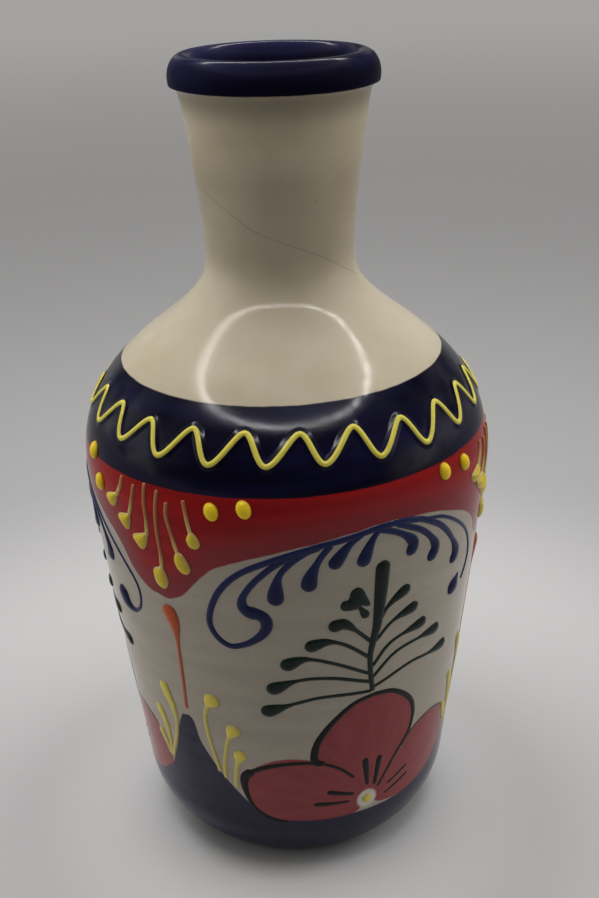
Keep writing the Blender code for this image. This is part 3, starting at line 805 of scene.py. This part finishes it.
def flower_distances(turns, heights):
    """Return the distances to the petals and to the bead's ring, and the angle and reach from the bead."""
    petals = np.full(len(turns), FAR)
    reach = np.full(len(turns), FAR)
    angle = np.zeros(len(turns))
    bead = flower_plane(np.array(FLOWER_BEAD[:1]), np.array(FLOWER_BEAD[1:]))[0]
    for pendant in PENDANT_TURNS.values():
        points = flower_plane(wrapped(turns - pendant - PANEL_LEAD), heights)
        for petal in PETALS:
            outline = smooth_route(petal, closed=True)[:-1:PETAL_SKIP]
            outline = flower_plane(outline[:, 0], outline[:, 1])
            petals = np.minimum(petals, outline_distance(points, outline) / MM)
        offset = points - bead
        here = np.linalg.norm(offset, axis=1)
        nearer = here < reach
        reach = np.where(nearer, here, reach)
        angle = np.where(nearer, np.arctan2(offset[:, 0], offset[:, 1]), angle)
    return petals, (reach - BEAD_RING_RADIUS) / MM, angle


def paint_shell(mesh):
    """Keep on the shell's points how far each lies from every painted edge."""
    points = mesh_points(mesh)
    heights = points[:, 2]
    across = points[:, 0]
    radii = np.hypot(points[:, 0], points[:, 1])
    turns = np.degrees(np.arctan2(points[:, 0], -points[:, 1]))
    petals, ring, angle = flower_distances(turns, heights)
    inside = wall_radius(heights) - radii > WALL / 2.0
    inside |= (heights > NECK_TOP_HEIGHT) & (radii < LIP_CENTRE[0])
    cracked = (turns > HAIRLINE[0][0]) & (turns < HAIRLINE[-1][0])
    values = {
        "inside": inside,
        "lip": (heights - LIP_PAINT_HEIGHT) / MM,
        "crest": np.abs(radii - LIP_CENTRE[0]) / MM,
        "cream": (heights - CREAM_EDGE_HEIGHT - CREAM_EDGE_TILT * across) / MM,
        "navy": (heights - RED_EDGE_HEIGHT - RED_EDGE_TILT * across) / MM,
        "red": scallop_distance(turns, heights),
        "base": base_distance(turns, heights),
        "petal": petals,
        "bead_ring": ring,
        "petal_angle": angle,
        "hairline": np.where(cracked, edge_distance(turns, heights, smooth_route(HAIRLINE)), FAR),
        "glazed": (heights - CLAY_HEIGHT) / MM,
    }
    for name, value in values.items():
        set_attribute(mesh, name, value)


# Slip trails

def cap_shape(distance, cap):
    """Return how much of a trail's width is left at a distance from its round end."""
    left = np.clip(1.0 - distance / cap, 0.0, 1.0)
    return np.sqrt(1.0 - left**2)


def trail_stations(length, start_cap, end_cap):
    """Return distances along a trail, close together at its round ends."""
    rounding = 1.0 - np.cos(np.linspace(CAP_START_ANGLE, np.pi / 2.0, CAP_STEPS))
    start = start_cap * rounding
    end = length - end_cap * rounding[::-1]
    count = max(2, int(np.ceil((end[0] - start[-1]) / TRAIL_STEP)))
    middle = np.linspace(start[-1], end[0], count + 1)[1:-1]
    return np.concatenate((start, middle, end))


def bead_points(places, normals, aside, lift, closed):
    """Return a bead's section points, from how far each lies aside of its line and out of the wall."""
    if closed:
        along = np.roll(places, -1, axis=0) - np.roll(places, 1, axis=0)
    else:
        along = np.gradient(places, axis=0)
    across = np.cross(normals, along)
    across /= np.linalg.norm(across, axis=1)[:, None]
    points = places[:, None, :] + across[:, None, :] * aside[:, :, None]
    return (points + normals[:, None, :] * lift[:, :, None]).reshape(-1, 3)


def half_rounds(places, normals, widths, rises, closed=False):
    """Return the section points along a bead: half ellipses that are bedded in the wall."""
    angles = np.linspace(0.0, np.pi, SECTION_SIDES + 1)
    aside = (widths / 2.0)[:, None] * np.cos(angles)
    lift = (rises + BED)[:, None] * np.sin(angles) - BED
    return bead_points(places, normals, aside, lift, closed)


def bead_faces(rings, closed):
    """Return the faces of a bead, as a closed ring or with two ends."""
    size = SECTION_SIDES + 1
    faces = ring_faces(rings, size, closed)
    if not closed:
        faces.append(tuple(range(size)))
        faces.append(tuple(range((rings - 1) * size, rings * size)))
    return faces


def trail_mesh(stroke, rise_share, lift=0.0, skin=SKIN):
    """Return one trailed stroke as a closed half-round bead with round ends."""
    places, normals = wall_frames(smooth_route(stroke.points))
    places = places + normals * lift
    run = run_lengths(places)
    length = run[-1]
    start_cap = stroke.start_width / 2.0
    end_cap = stroke.end_width / 2.0
    stations = trail_stations(length, start_cap, end_cap)
    places = sampled(places, run, stations)
    normals = sampled(normals, run, stations)
    head = min(stroke.head, length)
    grown = np.clip((head - length + stations) / (head - end_cap), 0.0, 1.0)
    grown = grown**2 * (3.0 - 2.0 * grown)
    caps = cap_shape(stations, start_cap) * cap_shape(length - stations, end_cap)
    widths = (stroke.start_width + (stroke.end_width - stroke.start_width) * grown) * caps
    rises = widths * rise_share + skin * caps
    vertices = half_rounds(places, normals, widths, rises)
    return mesh_from("trail", vertices, bead_faces(len(stations), False))


def zigzag_route():
    """Return the zigzag's middle line once around, with rounded corners and a hand's small unevenness."""
    pitch = 360.0 / ZIGZAG_COUNT
    fall = pitch * ZIGZAG_FALL_SHARE
    corners = []
    for index in range(-1, ZIGZAG_COUNT + 1):
        turn = ZIGZAG_PHASE + pitch * index
        place = index % ZIGZAG_COUNT
        corners.append((turn, ZIGZAG_TOP + ZIGZAG_SWAY * np.sin(TOP_SWAY_BEAT * place)))
        corners.append((turn + fall, ZIGZAG_BOTTOM + ZIGZAG_SWAY * np.cos(BOTTOM_SWAY_BEAT * place)))
    route = smooth_route(corners)
    once = (route[:, 0] >= ZIGZAG_PHASE) & (route[:, 0] < ZIGZAG_PHASE + 360.0)
    route = route[once]
    behind = np.interp(np.abs(wrapped(route[:, 0])), ZIGZAG_SAG_TURNS, (0.0, 1.0))
    route[:, 1] -= ZIGZAG_SAG * behind
    return route


def zigzag_frames():
    """Return the points along the zigzag's middle line on the wall, and the directions out of the wall."""
    route = zigzag_route()
    places, normals = wall_frames(np.vstack((route, route[:1])))
    run = run_lengths(places)
    stations = np.linspace(0.0, run[-1], int(run[-1] / TRAIL_STEP), endpoint=False)
    return sampled(places, run, stations), sampled(normals, run, stations)


def zigzag_mesh():
    """Return the zigzag as one closed bead around the shoulder."""
    places, normals = zigzag_frames()
    widths = np.full(len(places), ZIGZAG_WIDTH)
    vertices = half_rounds(places, normals, widths, widths * THICK_RISE + SKIN, closed=True)
    return mesh_from("zigzag", vertices, bead_faces(len(places), True))


def zigzag_fillet_mesh():
    """Return the glaze that has crept up both sides of the zigzag, as a low hollow ridge under it."""
    places, normals = zigzag_frames()
    reach = np.linspace(1.0, -1.0, SECTION_SIDES + 1)[None, :]
    lift = np.minimum(FILLET_RISE * (1.0 - np.abs(reach)) ** 2, FILLET_TOP) - BED * np.abs(reach)
    vertices = bead_points(places, normals, FILLET_REACH * reach, lift, closed=True)
    return mesh_from("zigzag_fillet", vertices, bead_faces(len(places), True))


def dome_mesh(turn, height, width, length, rise, tilt=0.0):
    """Return a dot of slip: a dome that is bedded in the glaze, leaning by a tilt in degrees."""
    places, normals = wall_frames(np.array(((turn, height),)))
    shape = bmesh.new()
    bmesh.ops.create_uvsphere(shape, u_segments=DOME_SIDES, v_segments=DOME_RINGS, radius=1.0)
    below = [vertex for vertex in shape.verts if vertex.co.z < -MERGE_DISTANCE]
    bmesh.ops.delete(shape, geom=below, context="VERTS")
    rim = [edge for edge in shape.edges if edge.is_boundary]
    bmesh.ops.contextual_create(shape, geom=rim)
    bmesh.ops.recalc_face_normals(shape, faces=shape.faces)
    facing = Vector(normals[0]).to_track_quat("Z", "Y").to_matrix().to_4x4()
    facing = facing @ Matrix.Rotation(np.radians(tilt), 4, "Z")
    size = Matrix.Diagonal((width / 2.0, length / 2.0, rise + SKIN + BED, 1.0))
    place = Vector(places[0]) - Vector(normals[0]) * BED
    shape.transform(Matrix.Translation(place) @ facing @ size)
    mesh = bpy.data.meshes.new("dome")
    shape.to_mesh(mesh)
    shape.free()
    mesh.shade_smooth()
    return mesh


def blob_mesh(outline, rise):
    """Return a low dome of slip over a closed outline of (turn, height) points."""
    edge = smooth_route(outline, closed=True)[:-1:BLOB_SKIP]
    centre = edge.mean(axis=0)
    angles = np.linspace(0.0, np.pi / 2.0, BLOB_RINGS)
    shares = np.concatenate(((0.0,), np.cos(angles)))
    lifts = np.concatenate(((-BED,), (rise + BED) * np.sin(angles) - BED))
    vertices = []
    for share, lift in zip(shares, lifts):
        places, normals = wall_frames(centre + (edge - centre) * share)
        vertices.append(places + normals * lift)
    return mesh_from("blob", np.vstack(vertices), ring_faces(len(shares), len(edge)))


def stroke_meshes(strokes, rise_share=THIN_RISE, skin=SKIN):
    """Return the beads of strokes that are to fuse."""
    meshes = []
    for index, stroke in enumerate(strokes):
        meshes.append(trail_mesh(stroke, rise_share, -LEVEL_STEP * (index % LEVEL_COUNT), skin))
    return meshes


def fused_mesh(name, meshes):
    """Return the union of overlapping beads as one mesh."""
    helpers = bpy.data.collections.new(name)
    base = add_object(name, meshes[0])
    for mesh in meshes[1:]:
        helpers.objects.link(bpy.data.objects.new("stroke", mesh))
    union = base.modifiers.new("Union", "BOOLEAN")
    union.operation = "UNION"
    union.operand_type = "COLLECTION"
    union.collection = helpers
    union.solver = "EXACT"
    union.use_self = True
    evaluated = base.evaluated_get(bpy.context.evaluated_depsgraph_get())
    fused = bpy.data.meshes.new_from_object(evaluated)
    for helper in list(helpers.objects):
        bpy.data.objects.remove(helper)
    bpy.data.objects.remove(base)
    bpy.data.collections.remove(helpers)
    fused.name = name
    fused.shade_smooth()
    return fused


def drop_mesh(drop):
    """Return a hanging drop with its tail, and keep how far each point lies below the head's top."""
    tail = trail_mesh(Stroke(drop.tail, DROP_TAIL_WIDTH, DROP_TAIL_WIDTH), THICK_RISE)
    mesh = fused_mesh("drop", [tail, blob_mesh(drop.head, DROP_HEAD_RISE)])
    head_top = max(height for turn, height in drop.head)
    set_attribute(mesh, "fall", (head_top - mesh_points(mesh)[:, 2]) / MM)
    return mesh


def measure_trail(mesh):
    """Keep on a trail's points how thick the slip is there."""
    points = mesh_points(mesh)
    heights = points[:, 2]
    radii = np.hypot(points[:, 0], points[:, 1])
    thickness = (radii - wall_radius(heights)) / np.hypot(1.0, wall_slope(heights))
    set_attribute(mesh, "thickness", thickness / MM)


# Materials

class Nodes:
    """A node tree, with short ways to add nodes and to join them."""

    def __init__(self, tree, place):
        self.tree = tree
        self.place = self.node("ShaderNodeTexCoord").outputs[place]

    def node(self, kind, operation=None, **inputs):
        """Add a node, and set or join its inputs, which are named or numbered as i0, i1 and so on."""
        made = self.tree.nodes.new(kind)
        if operation:
            made.operation = operation
        for name, value in inputs.items():
            self.feed(made.inputs[int(name[1:]) if name[1:].isdigit() else name], value)
        return made

    def feed(self, socket, value):
        """Join a socket to another, or set it to a value."""
        if isinstance(value, bpy.types.NodeSocket):
            self.tree.links.new(value, socket)
        else:
            socket.default_value = value

    def attribute(self, name):
        made = self.node("ShaderNodeAttribute")
        made.attribute_name = name
        return made.outputs["Fac"]

    def math(self, operation, first, second=0.0):
        return self.node("ShaderNodeMath", operation, i0=first, i1=second).outputs[0]

    def noise(self, grains, stretch=EVEN, detail=3.0, place=None):
        """Return noise from 0 to 1."""
        sizes = tuple(grains * share for share in stretch)
        grain = self.node("ShaderNodeMapping", Vector=place or self.place, Scale=sizes)
        made = self.node("ShaderNodeTexNoise", Vector=grain.outputs[0], Scale=1.0, Detail=detail)
        return made.outputs["Fac"]

    def remap(self, value, low, high, to_low=0.0, to_high=1.0, smooth=True):
        """Return a value carried from one range to another, gently at both ends if smooth."""
        made = self.node("ShaderNodeMapRange", i0=value, i1=low, i2=high, i3=to_low, i4=to_high)
        made.interpolation_type = "SMOOTHSTEP" if smooth else "LINEAR"
        return made.outputs[0]

    def mix(self, share, under, over):
        """Return a colour between two others."""
        made = self.node("ShaderNodeMix")
        made.data_type = "RGBA"
        self.feed(made.inputs["Factor"], share)
        for name, colour in (("A", under), ("B", over)):
            socket = next(s for s in made.inputs if s.name == name and s.type == "RGBA")
            self.feed(socket, (*colour, 1.0) if isinstance(colour, tuple) else colour)
        return next(s for s in made.outputs if s.type == "RGBA")

    def shade(self, under, value, shade):
        """Return a colour with a shade over it."""
        strength = self.remap(value, shade.start, shade.end, shade.first, shade.last)
        return self.mix(strength, under, shade.colour)

    def coat(self, coat, place=None):
        """Return a coat's colour."""
        noise = self.noise(coat.grains, coat.stretch, coat.detail, place)
        return self.mix(self.remap(noise, coat.low, coat.high), coat.first, coat.last)

    def below(self, name, wobble):
        """Return 1 below a painted edge and 0 above it."""
        edge = EDGES[name]
        sway = self.math("MULTIPLY", self.math("SUBTRACT", wobble, 0.5), 2.0 * edge.sway)
        distance = self.math("ADD", self.attribute(name), sway)
        return self.remap(distance, -edge.softness, edge.softness, 1.0, 0.0)


class Paint(Nodes):
    """A material's nodes, around its one shader."""

    def __init__(self, name):
        self.material = bpy.data.materials.new(name)
        self.material.use_nodes = True
        super().__init__(self.material.node_tree, "Object")
        self.shader = self.tree.nodes["Principled BSDF"]
        self.set("IOR", GLAZE_IOR)

    def set(self, name, value):
        """Join or set an input of the shader."""
        self.feed(self.shader.inputs[name], value)

    def bump(self, grains, strength, distance):
        """Let noise shape the surface's fine relief."""
        height = self.noise(grains, detail=2.0)
        made = self.node("ShaderNodeBump", Height=height, Strength=strength, Distance=distance)
        self.set("Normal", made.outputs[0])


def cream_colour(paint):
    """Return the cream glaze: warm, clouded, with a hairline and a few dark specks."""
    hair = paint.math("ABSOLUTE", paint.attribute("hairline"))
    cream = paint.shade(paint.coat(CREAM_COAT), hair, HAIRLINE_SHADE)
    return paint.shade(cream, paint.noise(SPECK_GRAINS, detail=1.0), SPECK_SHADE)


def cream_with_painted_shade(paint, cream):
    """Return the outside's cream, with a painted shadow close under the lip and a little painted shade
    around the neck's middle.
    """
    height = paint.attribute("lip")
    top = paint.remap(height, *NECK_PAINTED_SHADE_TOP)
    foot = paint.remap(height, *NECK_PAINTED_SHADE_FOOT)
    # The stronger of the lip's painted shadow and the neck's painted shade
    shade = paint.math("MAXIMUM", paint.remap(height, *LIP_PAINTED_SHADOW), paint.math("MULTIPLY", top, foot))
    return paint.mix(shade, cream, CREAM_PAINTED_SHADE_COLOUR)


def ground_colour(paint):
    """Return the body's off-white ground, brushed on in faint streaks, with clouds and fine dust in it."""
    ground = paint.shade(paint.coat(GROUND_COAT), paint.noise(CLOUD_GRAINS), CLOUD_SHADE)
    return paint.shade(ground, paint.noise(DUST_GRAINS, detail=2.0), DUST_SHADE)


def petal_colour(paint):
    """Return the petals' wash, drawn out from the bead in streaks and darker at its rim."""
    angle = paint.attribute("petal_angle")
    fan = paint.node("ShaderNodeCombineXYZ", i0=angle, i1=paint.attribute("bead_ring"))
    return paint.shade(paint.coat(PETAL_COAT, fan.outputs[0]), paint.attribute("petal"), PETAL_SHADE)


def glaze_roughness(paint):
    return paint.remap(paint.noise(GLAZE_GRAINS), *GLAZE_ROUGHNESS)


def gloss_shell(paint, clay):
    """Set how the shell mirrors: dull on bare clay and on the lip's sides, and glossy elsewhere."""
    lip = paint.remap(paint.attribute("lip"), *LIP_SPREAD)
    side = paint.remap(paint.attribute("crest"), *LIP_SIDE_SPREAD)
    change = paint.remap(side, 0.0, 1.0, LIP_IOR - GLAZE_IOR, LIP_SIDE_IOR - GLAZE_IOR)
    paint.set("IOR", paint.math("ADD", GLAZE_IOR, paint.math("MULTIPLY", lip, change)))
    dull_clay = paint.math("MULTIPLY", clay, CLAY_ROUGHNESS)
    dull_lip = paint.math("MULTIPLY", paint.math("MULTIPLY", lip, side), LIP_SIDE_ROUGHNESS)
    roughness = paint.math("MAXIMUM", glaze_roughness(paint), dull_clay)
    paint.set("Roughness", paint.math("MAXIMUM", roughness, dull_lip))


def shell_material():
    """Return the shell's glaze with every painted band, flower and bare spot."""
    paint = Paint("cream_glaze_painted")
    wobble = paint.noise(EDGE_GRAINS, detail=2.0)
    cream = cream_colour(paint)
    clay = paint.below("glazed", wobble)
    red = paint.shade(paint.coat(RED_COAT), paint.attribute("red"), RED_SHADE)
    base = paint.shade(paint.coat(BASE_COAT), paint.attribute("base"), BASE_SHADE)
    body = paint.mix(paint.below("petal", wobble), ground_colour(paint), petal_colour(paint))
    body = paint.mix(paint.below("bead_ring", wobble), body, BEAD_RING_COLOUR)
    body = paint.mix(paint.below("base", wobble), body, base)
    body = paint.mix(paint.below("red", wobble), red, body)
    body = paint.mix(paint.below("navy", wobble), paint.coat(NAVY_COAT), body)
    body = paint.mix(paint.below("cream", wobble), cream_with_painted_shade(paint, cream), body)
    body = paint.mix(paint.attribute("inside"), body, cream)
    body = paint.mix(paint.below("lip", wobble), paint.coat(NAVY_COAT), body)
    paint.set("Base Color", paint.mix(clay, body, paint.coat(CLAY_COAT)))
    gloss_shell(paint, clay)
    paint.bump(*GLAZE_RELIEF)
    return paint.material


def navy_material():
    """Return the navy glaze alone, for the fillet along the zigzag."""
    paint = Paint("navy_glaze")
    paint.set("Base Color", paint.coat(NAVY_COAT))
    paint.set("Roughness", glaze_roughness(paint))
    return paint.material


def slip_material(name):
    """Return a glossy slip, shaded by how thick it lies, with colours of its own in a drop's head."""
    paint = Paint(name)
    slip = SLIPS[name]
    cloud = paint.remap(paint.noise(SLIP_CLOUD_GRAINS), *SLIP_CLOUDS)
    body = paint.math("ADD", paint.remap(paint.attribute("thickness"), 0.0, slip.full), cloud)
    colour = paint.mix(body, slip.thin, slip.thick)
    if slip.head_thin:
        head = paint.mix(body, slip.head_thin, slip.head_thick)
        colour = paint.mix(paint.remap(paint.attribute("fall"), *HEAD_SPREAD), colour, head)
    paint.set("Base Color", colour)
    paint.set("Roughness", paint.remap(paint.noise(SLIP_GRAINS, detail=2.0), *SLIP_ROUGHNESS))
    paint.bump(*SLIP_RELIEF)
    return paint.material


# Pieces

def add_piece(name, mesh, material, node, turn=0.0):
    """Add a mesh, turned around the axis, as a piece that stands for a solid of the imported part."""
    mesh = mesh.copy()
    mesh.transform(Matrix.Rotation(np.radians(turn), 4, "Z"))
    mesh.materials.clear()
    mesh.materials.append(material)
    piece = add_object(name, mesh)
    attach(piece, "root")
    if node:
        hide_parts(node)


def add_copies(node, mesh, material, lead=0.0):
    """Add one copy of an ornament for each pendant, led on around the axis from it."""
    measure_trail(mesh)
    for pendant, turn in PENDANT_TURNS.items():
        name = node.format(pendant)
        add_piece(f"{name}_glazed", mesh, material, name, turn + lead)


def build_shell():
    mesh = shell_mesh()
    paint_shell(mesh)
    add_piece("bottle_body_painted", mesh, shell_material(), "bottle_body")


def build_yellow_trails():
    """Add the zigzag, and each pendant's drops and dots."""
    yellow = slip_material("yellow_slip_glazed")
    golden = slip_material("golden_slip_glazed")
    ochre = slip_material("ochre_slip_glazed")
    zigzag = zigzag_mesh()
    measure_trail(zigzag)
    add_piece("zigzag_trail_glazed", zigzag, yellow, "zigzag_trail")
    add_piece("zigzag_fillet", zigzag_fillet_mesh(), navy_material(), None)
    for number, drop in enumerate(DROPS, start=1):
        add_copies(f"pendant_{{}}_drop_{number}", drop_mesh(drop), ochre)
    for pendant, turn in PENDANT_TURNS.items():
        for number, place in enumerate(DOTS_LEFT[pendant] + DOTS_RIGHT, start=1):
            dome = dome_mesh(*place, DOT_WIDTH, DOT_LENGTH, DOT_WIDTH * THICK_RISE, DOT_TILT)
            measure_trail(dome)
            node = f"pendant_{pendant}_dot_{number}"
            add_piece(f"{node}_glazed", dome, golden, node, turn)


def headed_strokes(lines, head_widths, line_width, head):
    """Return strokes of one line width that swell to heads of their own widths."""
    return [Stroke(points, line_width, width, head) for points, width in zip(lines, head_widths)]


def build_garlands():
    """Add each panel's garland, with the right end that its panel has."""
    blue = slip_material("blue_slip_glazed")
    strokes = [Stroke(GARLAND_ARCH, GARLAND_LINE_WIDTH, GARLAND_HOOK_WIDTH, HOOK_HEAD)]
    strokes += headed_strokes(GARLAND_DROPS, GARLAND_HEAD_WIDTHS, GARLAND_LINE_WIDTH, GARLAND_HEAD)
    for panel, tendril in GARLAND_TENDRILS.items():
        garland = fused_mesh("garland", stroke_meshes(strokes + list(tendril)))
        measure_trail(garland)
        node = f"garland_{panel}"
        add_piece(f"{node}_glazed", garland, blue, node, PENDANT_TURNS[panel] + PANEL_LEAD)


def build_ferns():
    """Add each panel's fern, with two of its upper leaves run together to a blob and a stub."""
    green = slip_material("green_slip_glazed")
    strokes = [Stroke(FERN_STEM, STEM_FOOT_WIDTH, STEM_TOP_WIDTH, STEM_HEAD)]
    strokes += headed_strokes(FERN_LEAVES, FERN_HEAD_WIDTHS, FERN_LINE_WIDTH, LEAF_HEAD)
    strokes.append(Stroke(FERN_STUB, FERN_LINE_WIDTH, 2.0 * FERN_LINE_WIDTH))
    meshes = stroke_meshes(strokes) + [blob_mesh(FERN_BLOB, FERN_BLOB_RISE)]
    add_copies("fern_{}", fused_mesh("fern", meshes), green, PANEL_LEAD)


def build_flowers():
    """Add the bead in the middle of each flower, and the black lines drawn on its petals."""
    bead = slip_material("bead_slip_glazed")
    black = slip_material("black_line_glazed")
    dome = dome_mesh(*FLOWER_BEAD, BEAD_WIDTH, BEAD_WIDTH, BEAD_WIDTH * THIN_RISE)
    add_copies("flower_bead_{}", dome, bead, PANEL_LEAD)
    lines = fused_mesh("flower_lines", stroke_meshes(FLOWER_LINES, LINE_RISE, 0.0))
    measure_trail(lines)
    for pendant, turn in PENDANT_TURNS.items():
        add_piece(f"flower_lines_{pendant}", lines, black, None, turn + PANEL_LEAD)


def build_peaks():
    """Add the flame stroke and the two sprigs under each pendant."""
    orange = slip_material("orange_slip_glazed")
    pale = slip_material("pale_yellow_slip_glazed")
    flame = Stroke(FLAME, FLAME_TAIL_WIDTH, FLAME_HEAD_WIDTH, FLAME_HEAD)
    add_copies("flame_{}", trail_mesh(flame, THIN_RISE), orange)
    for side, strokes in SPRIGS.items():
        add_copies(f"sprig_{{}}_{side}", fused_mesh(side, stroke_meshes(strokes)), pale)


# Stage, light and camera

def build_floor():
    """Add a wide pale floor with a faint mottle, and a painted contact shadow and painted light and shade
    in soft rings around the bottle.
    """
    paint = Paint("pale_floor")
    paint.set("Roughness", FLOOR_ROUGHNESS)
    paint.set("Specular IOR Level", 0.0)
    distance = paint.node("ShaderNodeVectorMath", "DISTANCE", i0=paint.place, i1=FLOOR_PAINTED_LIGHT_CENTRE)
    # The painted contact shadow, with the rings of painted light and shade laid over it
    shade = FLOOR_PAINTED_SHADOW
    for ring in FLOOR_PAINTED_LIGHT_RINGS:
        shade = paint.shade(shade, distance.outputs["Value"], ring)
    paint.set("Base Color", paint.shade(shade, paint.noise(FLOOR_GRAINS), FLOOR_MOTTLE))
    half = FLOOR_SIZE / 2.0
    corners = [(-half, -half, 0.0), (half, -half, 0.0), (half, half, 0.0), (-half, half, 0.0)]
    mesh = mesh_from("studio_floor", corners, [(0, 1, 2, 3)])
    mesh.materials.append(paint.material)
    floor = add_object("studio_floor", mesh)


def build_lamp():
    """Add the soft lamp overhead."""
    data = bpy.data.lights.new("overhead_lamp", "AREA")
    data.shape = "DISK"
    data.size = 2.0 * LAMP_RADIUS
    data.energy = LAMP_POWER
    lamp = add_object("overhead_lamp", data)
    lamp.location = LAMP_PLACE
    lamp.visible_camera = False
    lamp.visible_glossy = False


def glow_material():
    """Return the light of the lamp's face: a faint middle and a bright rim that is broken on its right."""
    paint = Paint("lamp_glow")
    paint.set("Roughness", 1.0)
    paint.set("Base Color", (0.0, 0.0, 0.0, 1.0))
    distance = paint.node("ShaderNodeVectorMath", "LENGTH", i0=paint.place).outputs["Value"]
    rim_edge = LAMP_RADIUS - RING_WIDTH
    rim = paint.remap(distance, rim_edge - RING_SOFTNESS, rim_edge)
    right = paint.remap(paint.node("ShaderNodeSeparateXYZ", i0=paint.place).outputs["X"], *BREAK_SPREAD)
    gaps = paint.remap(paint.noise(BREAK_GRAINS, detail=1.0), *BREAK_EDGES, *BREAK_DEPTHS)
    broken = paint.math("SUBTRACT", 1.0, paint.math("MULTIPLY", right, gaps))
    strength = paint.math("MULTIPLY", paint.math("MULTIPLY", rim, broken), RING_STRENGTH)
    paint.set("Emission Strength", paint.math("ADD", strength, DISC_STRENGTH))
    paint.set("Emission Color", (*LIGHT_COLOUR, 1.0))
    return paint.material


def build_lamp_face():
    """Add the lamp's face, which only the glaze's reflections show."""
    angles = np.linspace(0.0, 2.0 * np.pi, RING_SIDES, endpoint=False)
    corners = [(LAMP_RADIUS * np.sin(angle), LAMP_RADIUS * np.cos(angle), 0.0) for angle in angles]
    mesh = mesh_from("lamp_face", corners, [tuple(range(RING_SIDES))])
    mesh.materials.append(glow_material())
    face = add_object("lamp_face", mesh)
    face.location = RING_PLACE
    face.visible_camera = False
    face.visible_diffuse = False
    face.visible_shadow = False


def room_light(nodes, ray):
    """Return the room's light by direction: alike on both sides, and in patches where glaze mirrors it."""
    split = nodes.node("ShaderNodeSeparateXYZ", i0=nodes.place).outputs
    aside = nodes.math("ABSOLUTE", split["X"])
    folded = nodes.node("ShaderNodeCombineXYZ", i0=aside, i1=split["Y"], i2=split["Z"])
    towards = nodes.node("ShaderNodeVectorMath", "DOT_PRODUCT", i0=folded.outputs[0], i1=LIGHT_FROM)
    level = nodes.remap(towards.outputs["Value"], *LIGHT_SPREAD, FRONT_LIGHT, BACK_LIGHT)
    sides = nodes.remap(aside, *SIDE_SPREAD, 0.0, SIDE_LIGHT)
    patches = nodes.noise(ROOM_PATCHES, detail=2.0)
    mirrored = nodes.remap(patches, *PATCH_EDGES, *ROOM_GLOSS, smooth=False)
    dimmed = nodes.remap(ray["Is Glossy Ray"], 0.0, 1.0, 1.0, mirrored, smooth=False)
    return nodes.math("MULTIPLY", nodes.math("ADD", level, sides), dimmed)


def build_world():
    """Light the scene softly, mostly from above, behind and the sides, before a plain sky."""
    world = bpy.data.worlds.new("studio_world")
    bpy.context.scene.world = world
    world.use_nodes = True
    nodes = Nodes(world.node_tree, "Generated")
    ray = nodes.node("ShaderNodeLightPath").outputs
    room = nodes.tree.nodes["Background"]
    nodes.feed(room.inputs["Color"], (*LIGHT_COLOUR, 1.0))
    nodes.feed(room.inputs["Strength"], room_light(nodes, ray))
    sky = nodes.node("ShaderNodeBackground", Color=(*SKY_COLOUR, 1.0))
    seen = nodes.node("ShaderNodeMixShader", i0=ray["Is Camera Ray"], i1=room.outputs[0], i2=sky.outputs[0])
    nodes.feed(nodes.tree.nodes["World Output"].inputs["Surface"], seen.outputs[0])


def build_camera():
    """Set the camera where the photograph was taken from."""
    pitch, yaw, roll = np.radians((CAMERA_PITCH, CAMERA_YAW, CAMERA_ROLL))
    aim = Matrix.Rotation(-yaw, 4, "Z") @ Matrix.Rotation(np.pi / 2.0 - pitch, 4, "X")
    data = bpy.data.cameras.new("photo_camera")
    data.sensor_width = CAMERA_SENSOR
    data.lens = CAMERA_LENS
    data.clip_start = CAMERA_CLIP
    camera = add_object("photo_camera", data)
    camera.matrix_world = Matrix.Translation(CAMERA_PLACE) @ aim @ Matrix.Rotation(roll, 4, "Z")
    bpy.context.scene.camera = camera


def remove_start_objects():
    """Remove whatever Blender started with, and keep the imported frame."""
    kept = set(frame["nodes"].values()) | set(frame["bodies"].values())
    for old in list(bpy.data.objects):
        if old not in kept:
            bpy.data.objects.remove(old)


remove_start_objects()
build_camera()
build_shell()
build_yellow_trails()
build_garlands()
build_ferns()
build_flowers()
build_peaks()
build_floor()
build_lamp()
build_lamp_face()
build_world()
bpy.context.scene.view_settings.view_transform = "Standard"
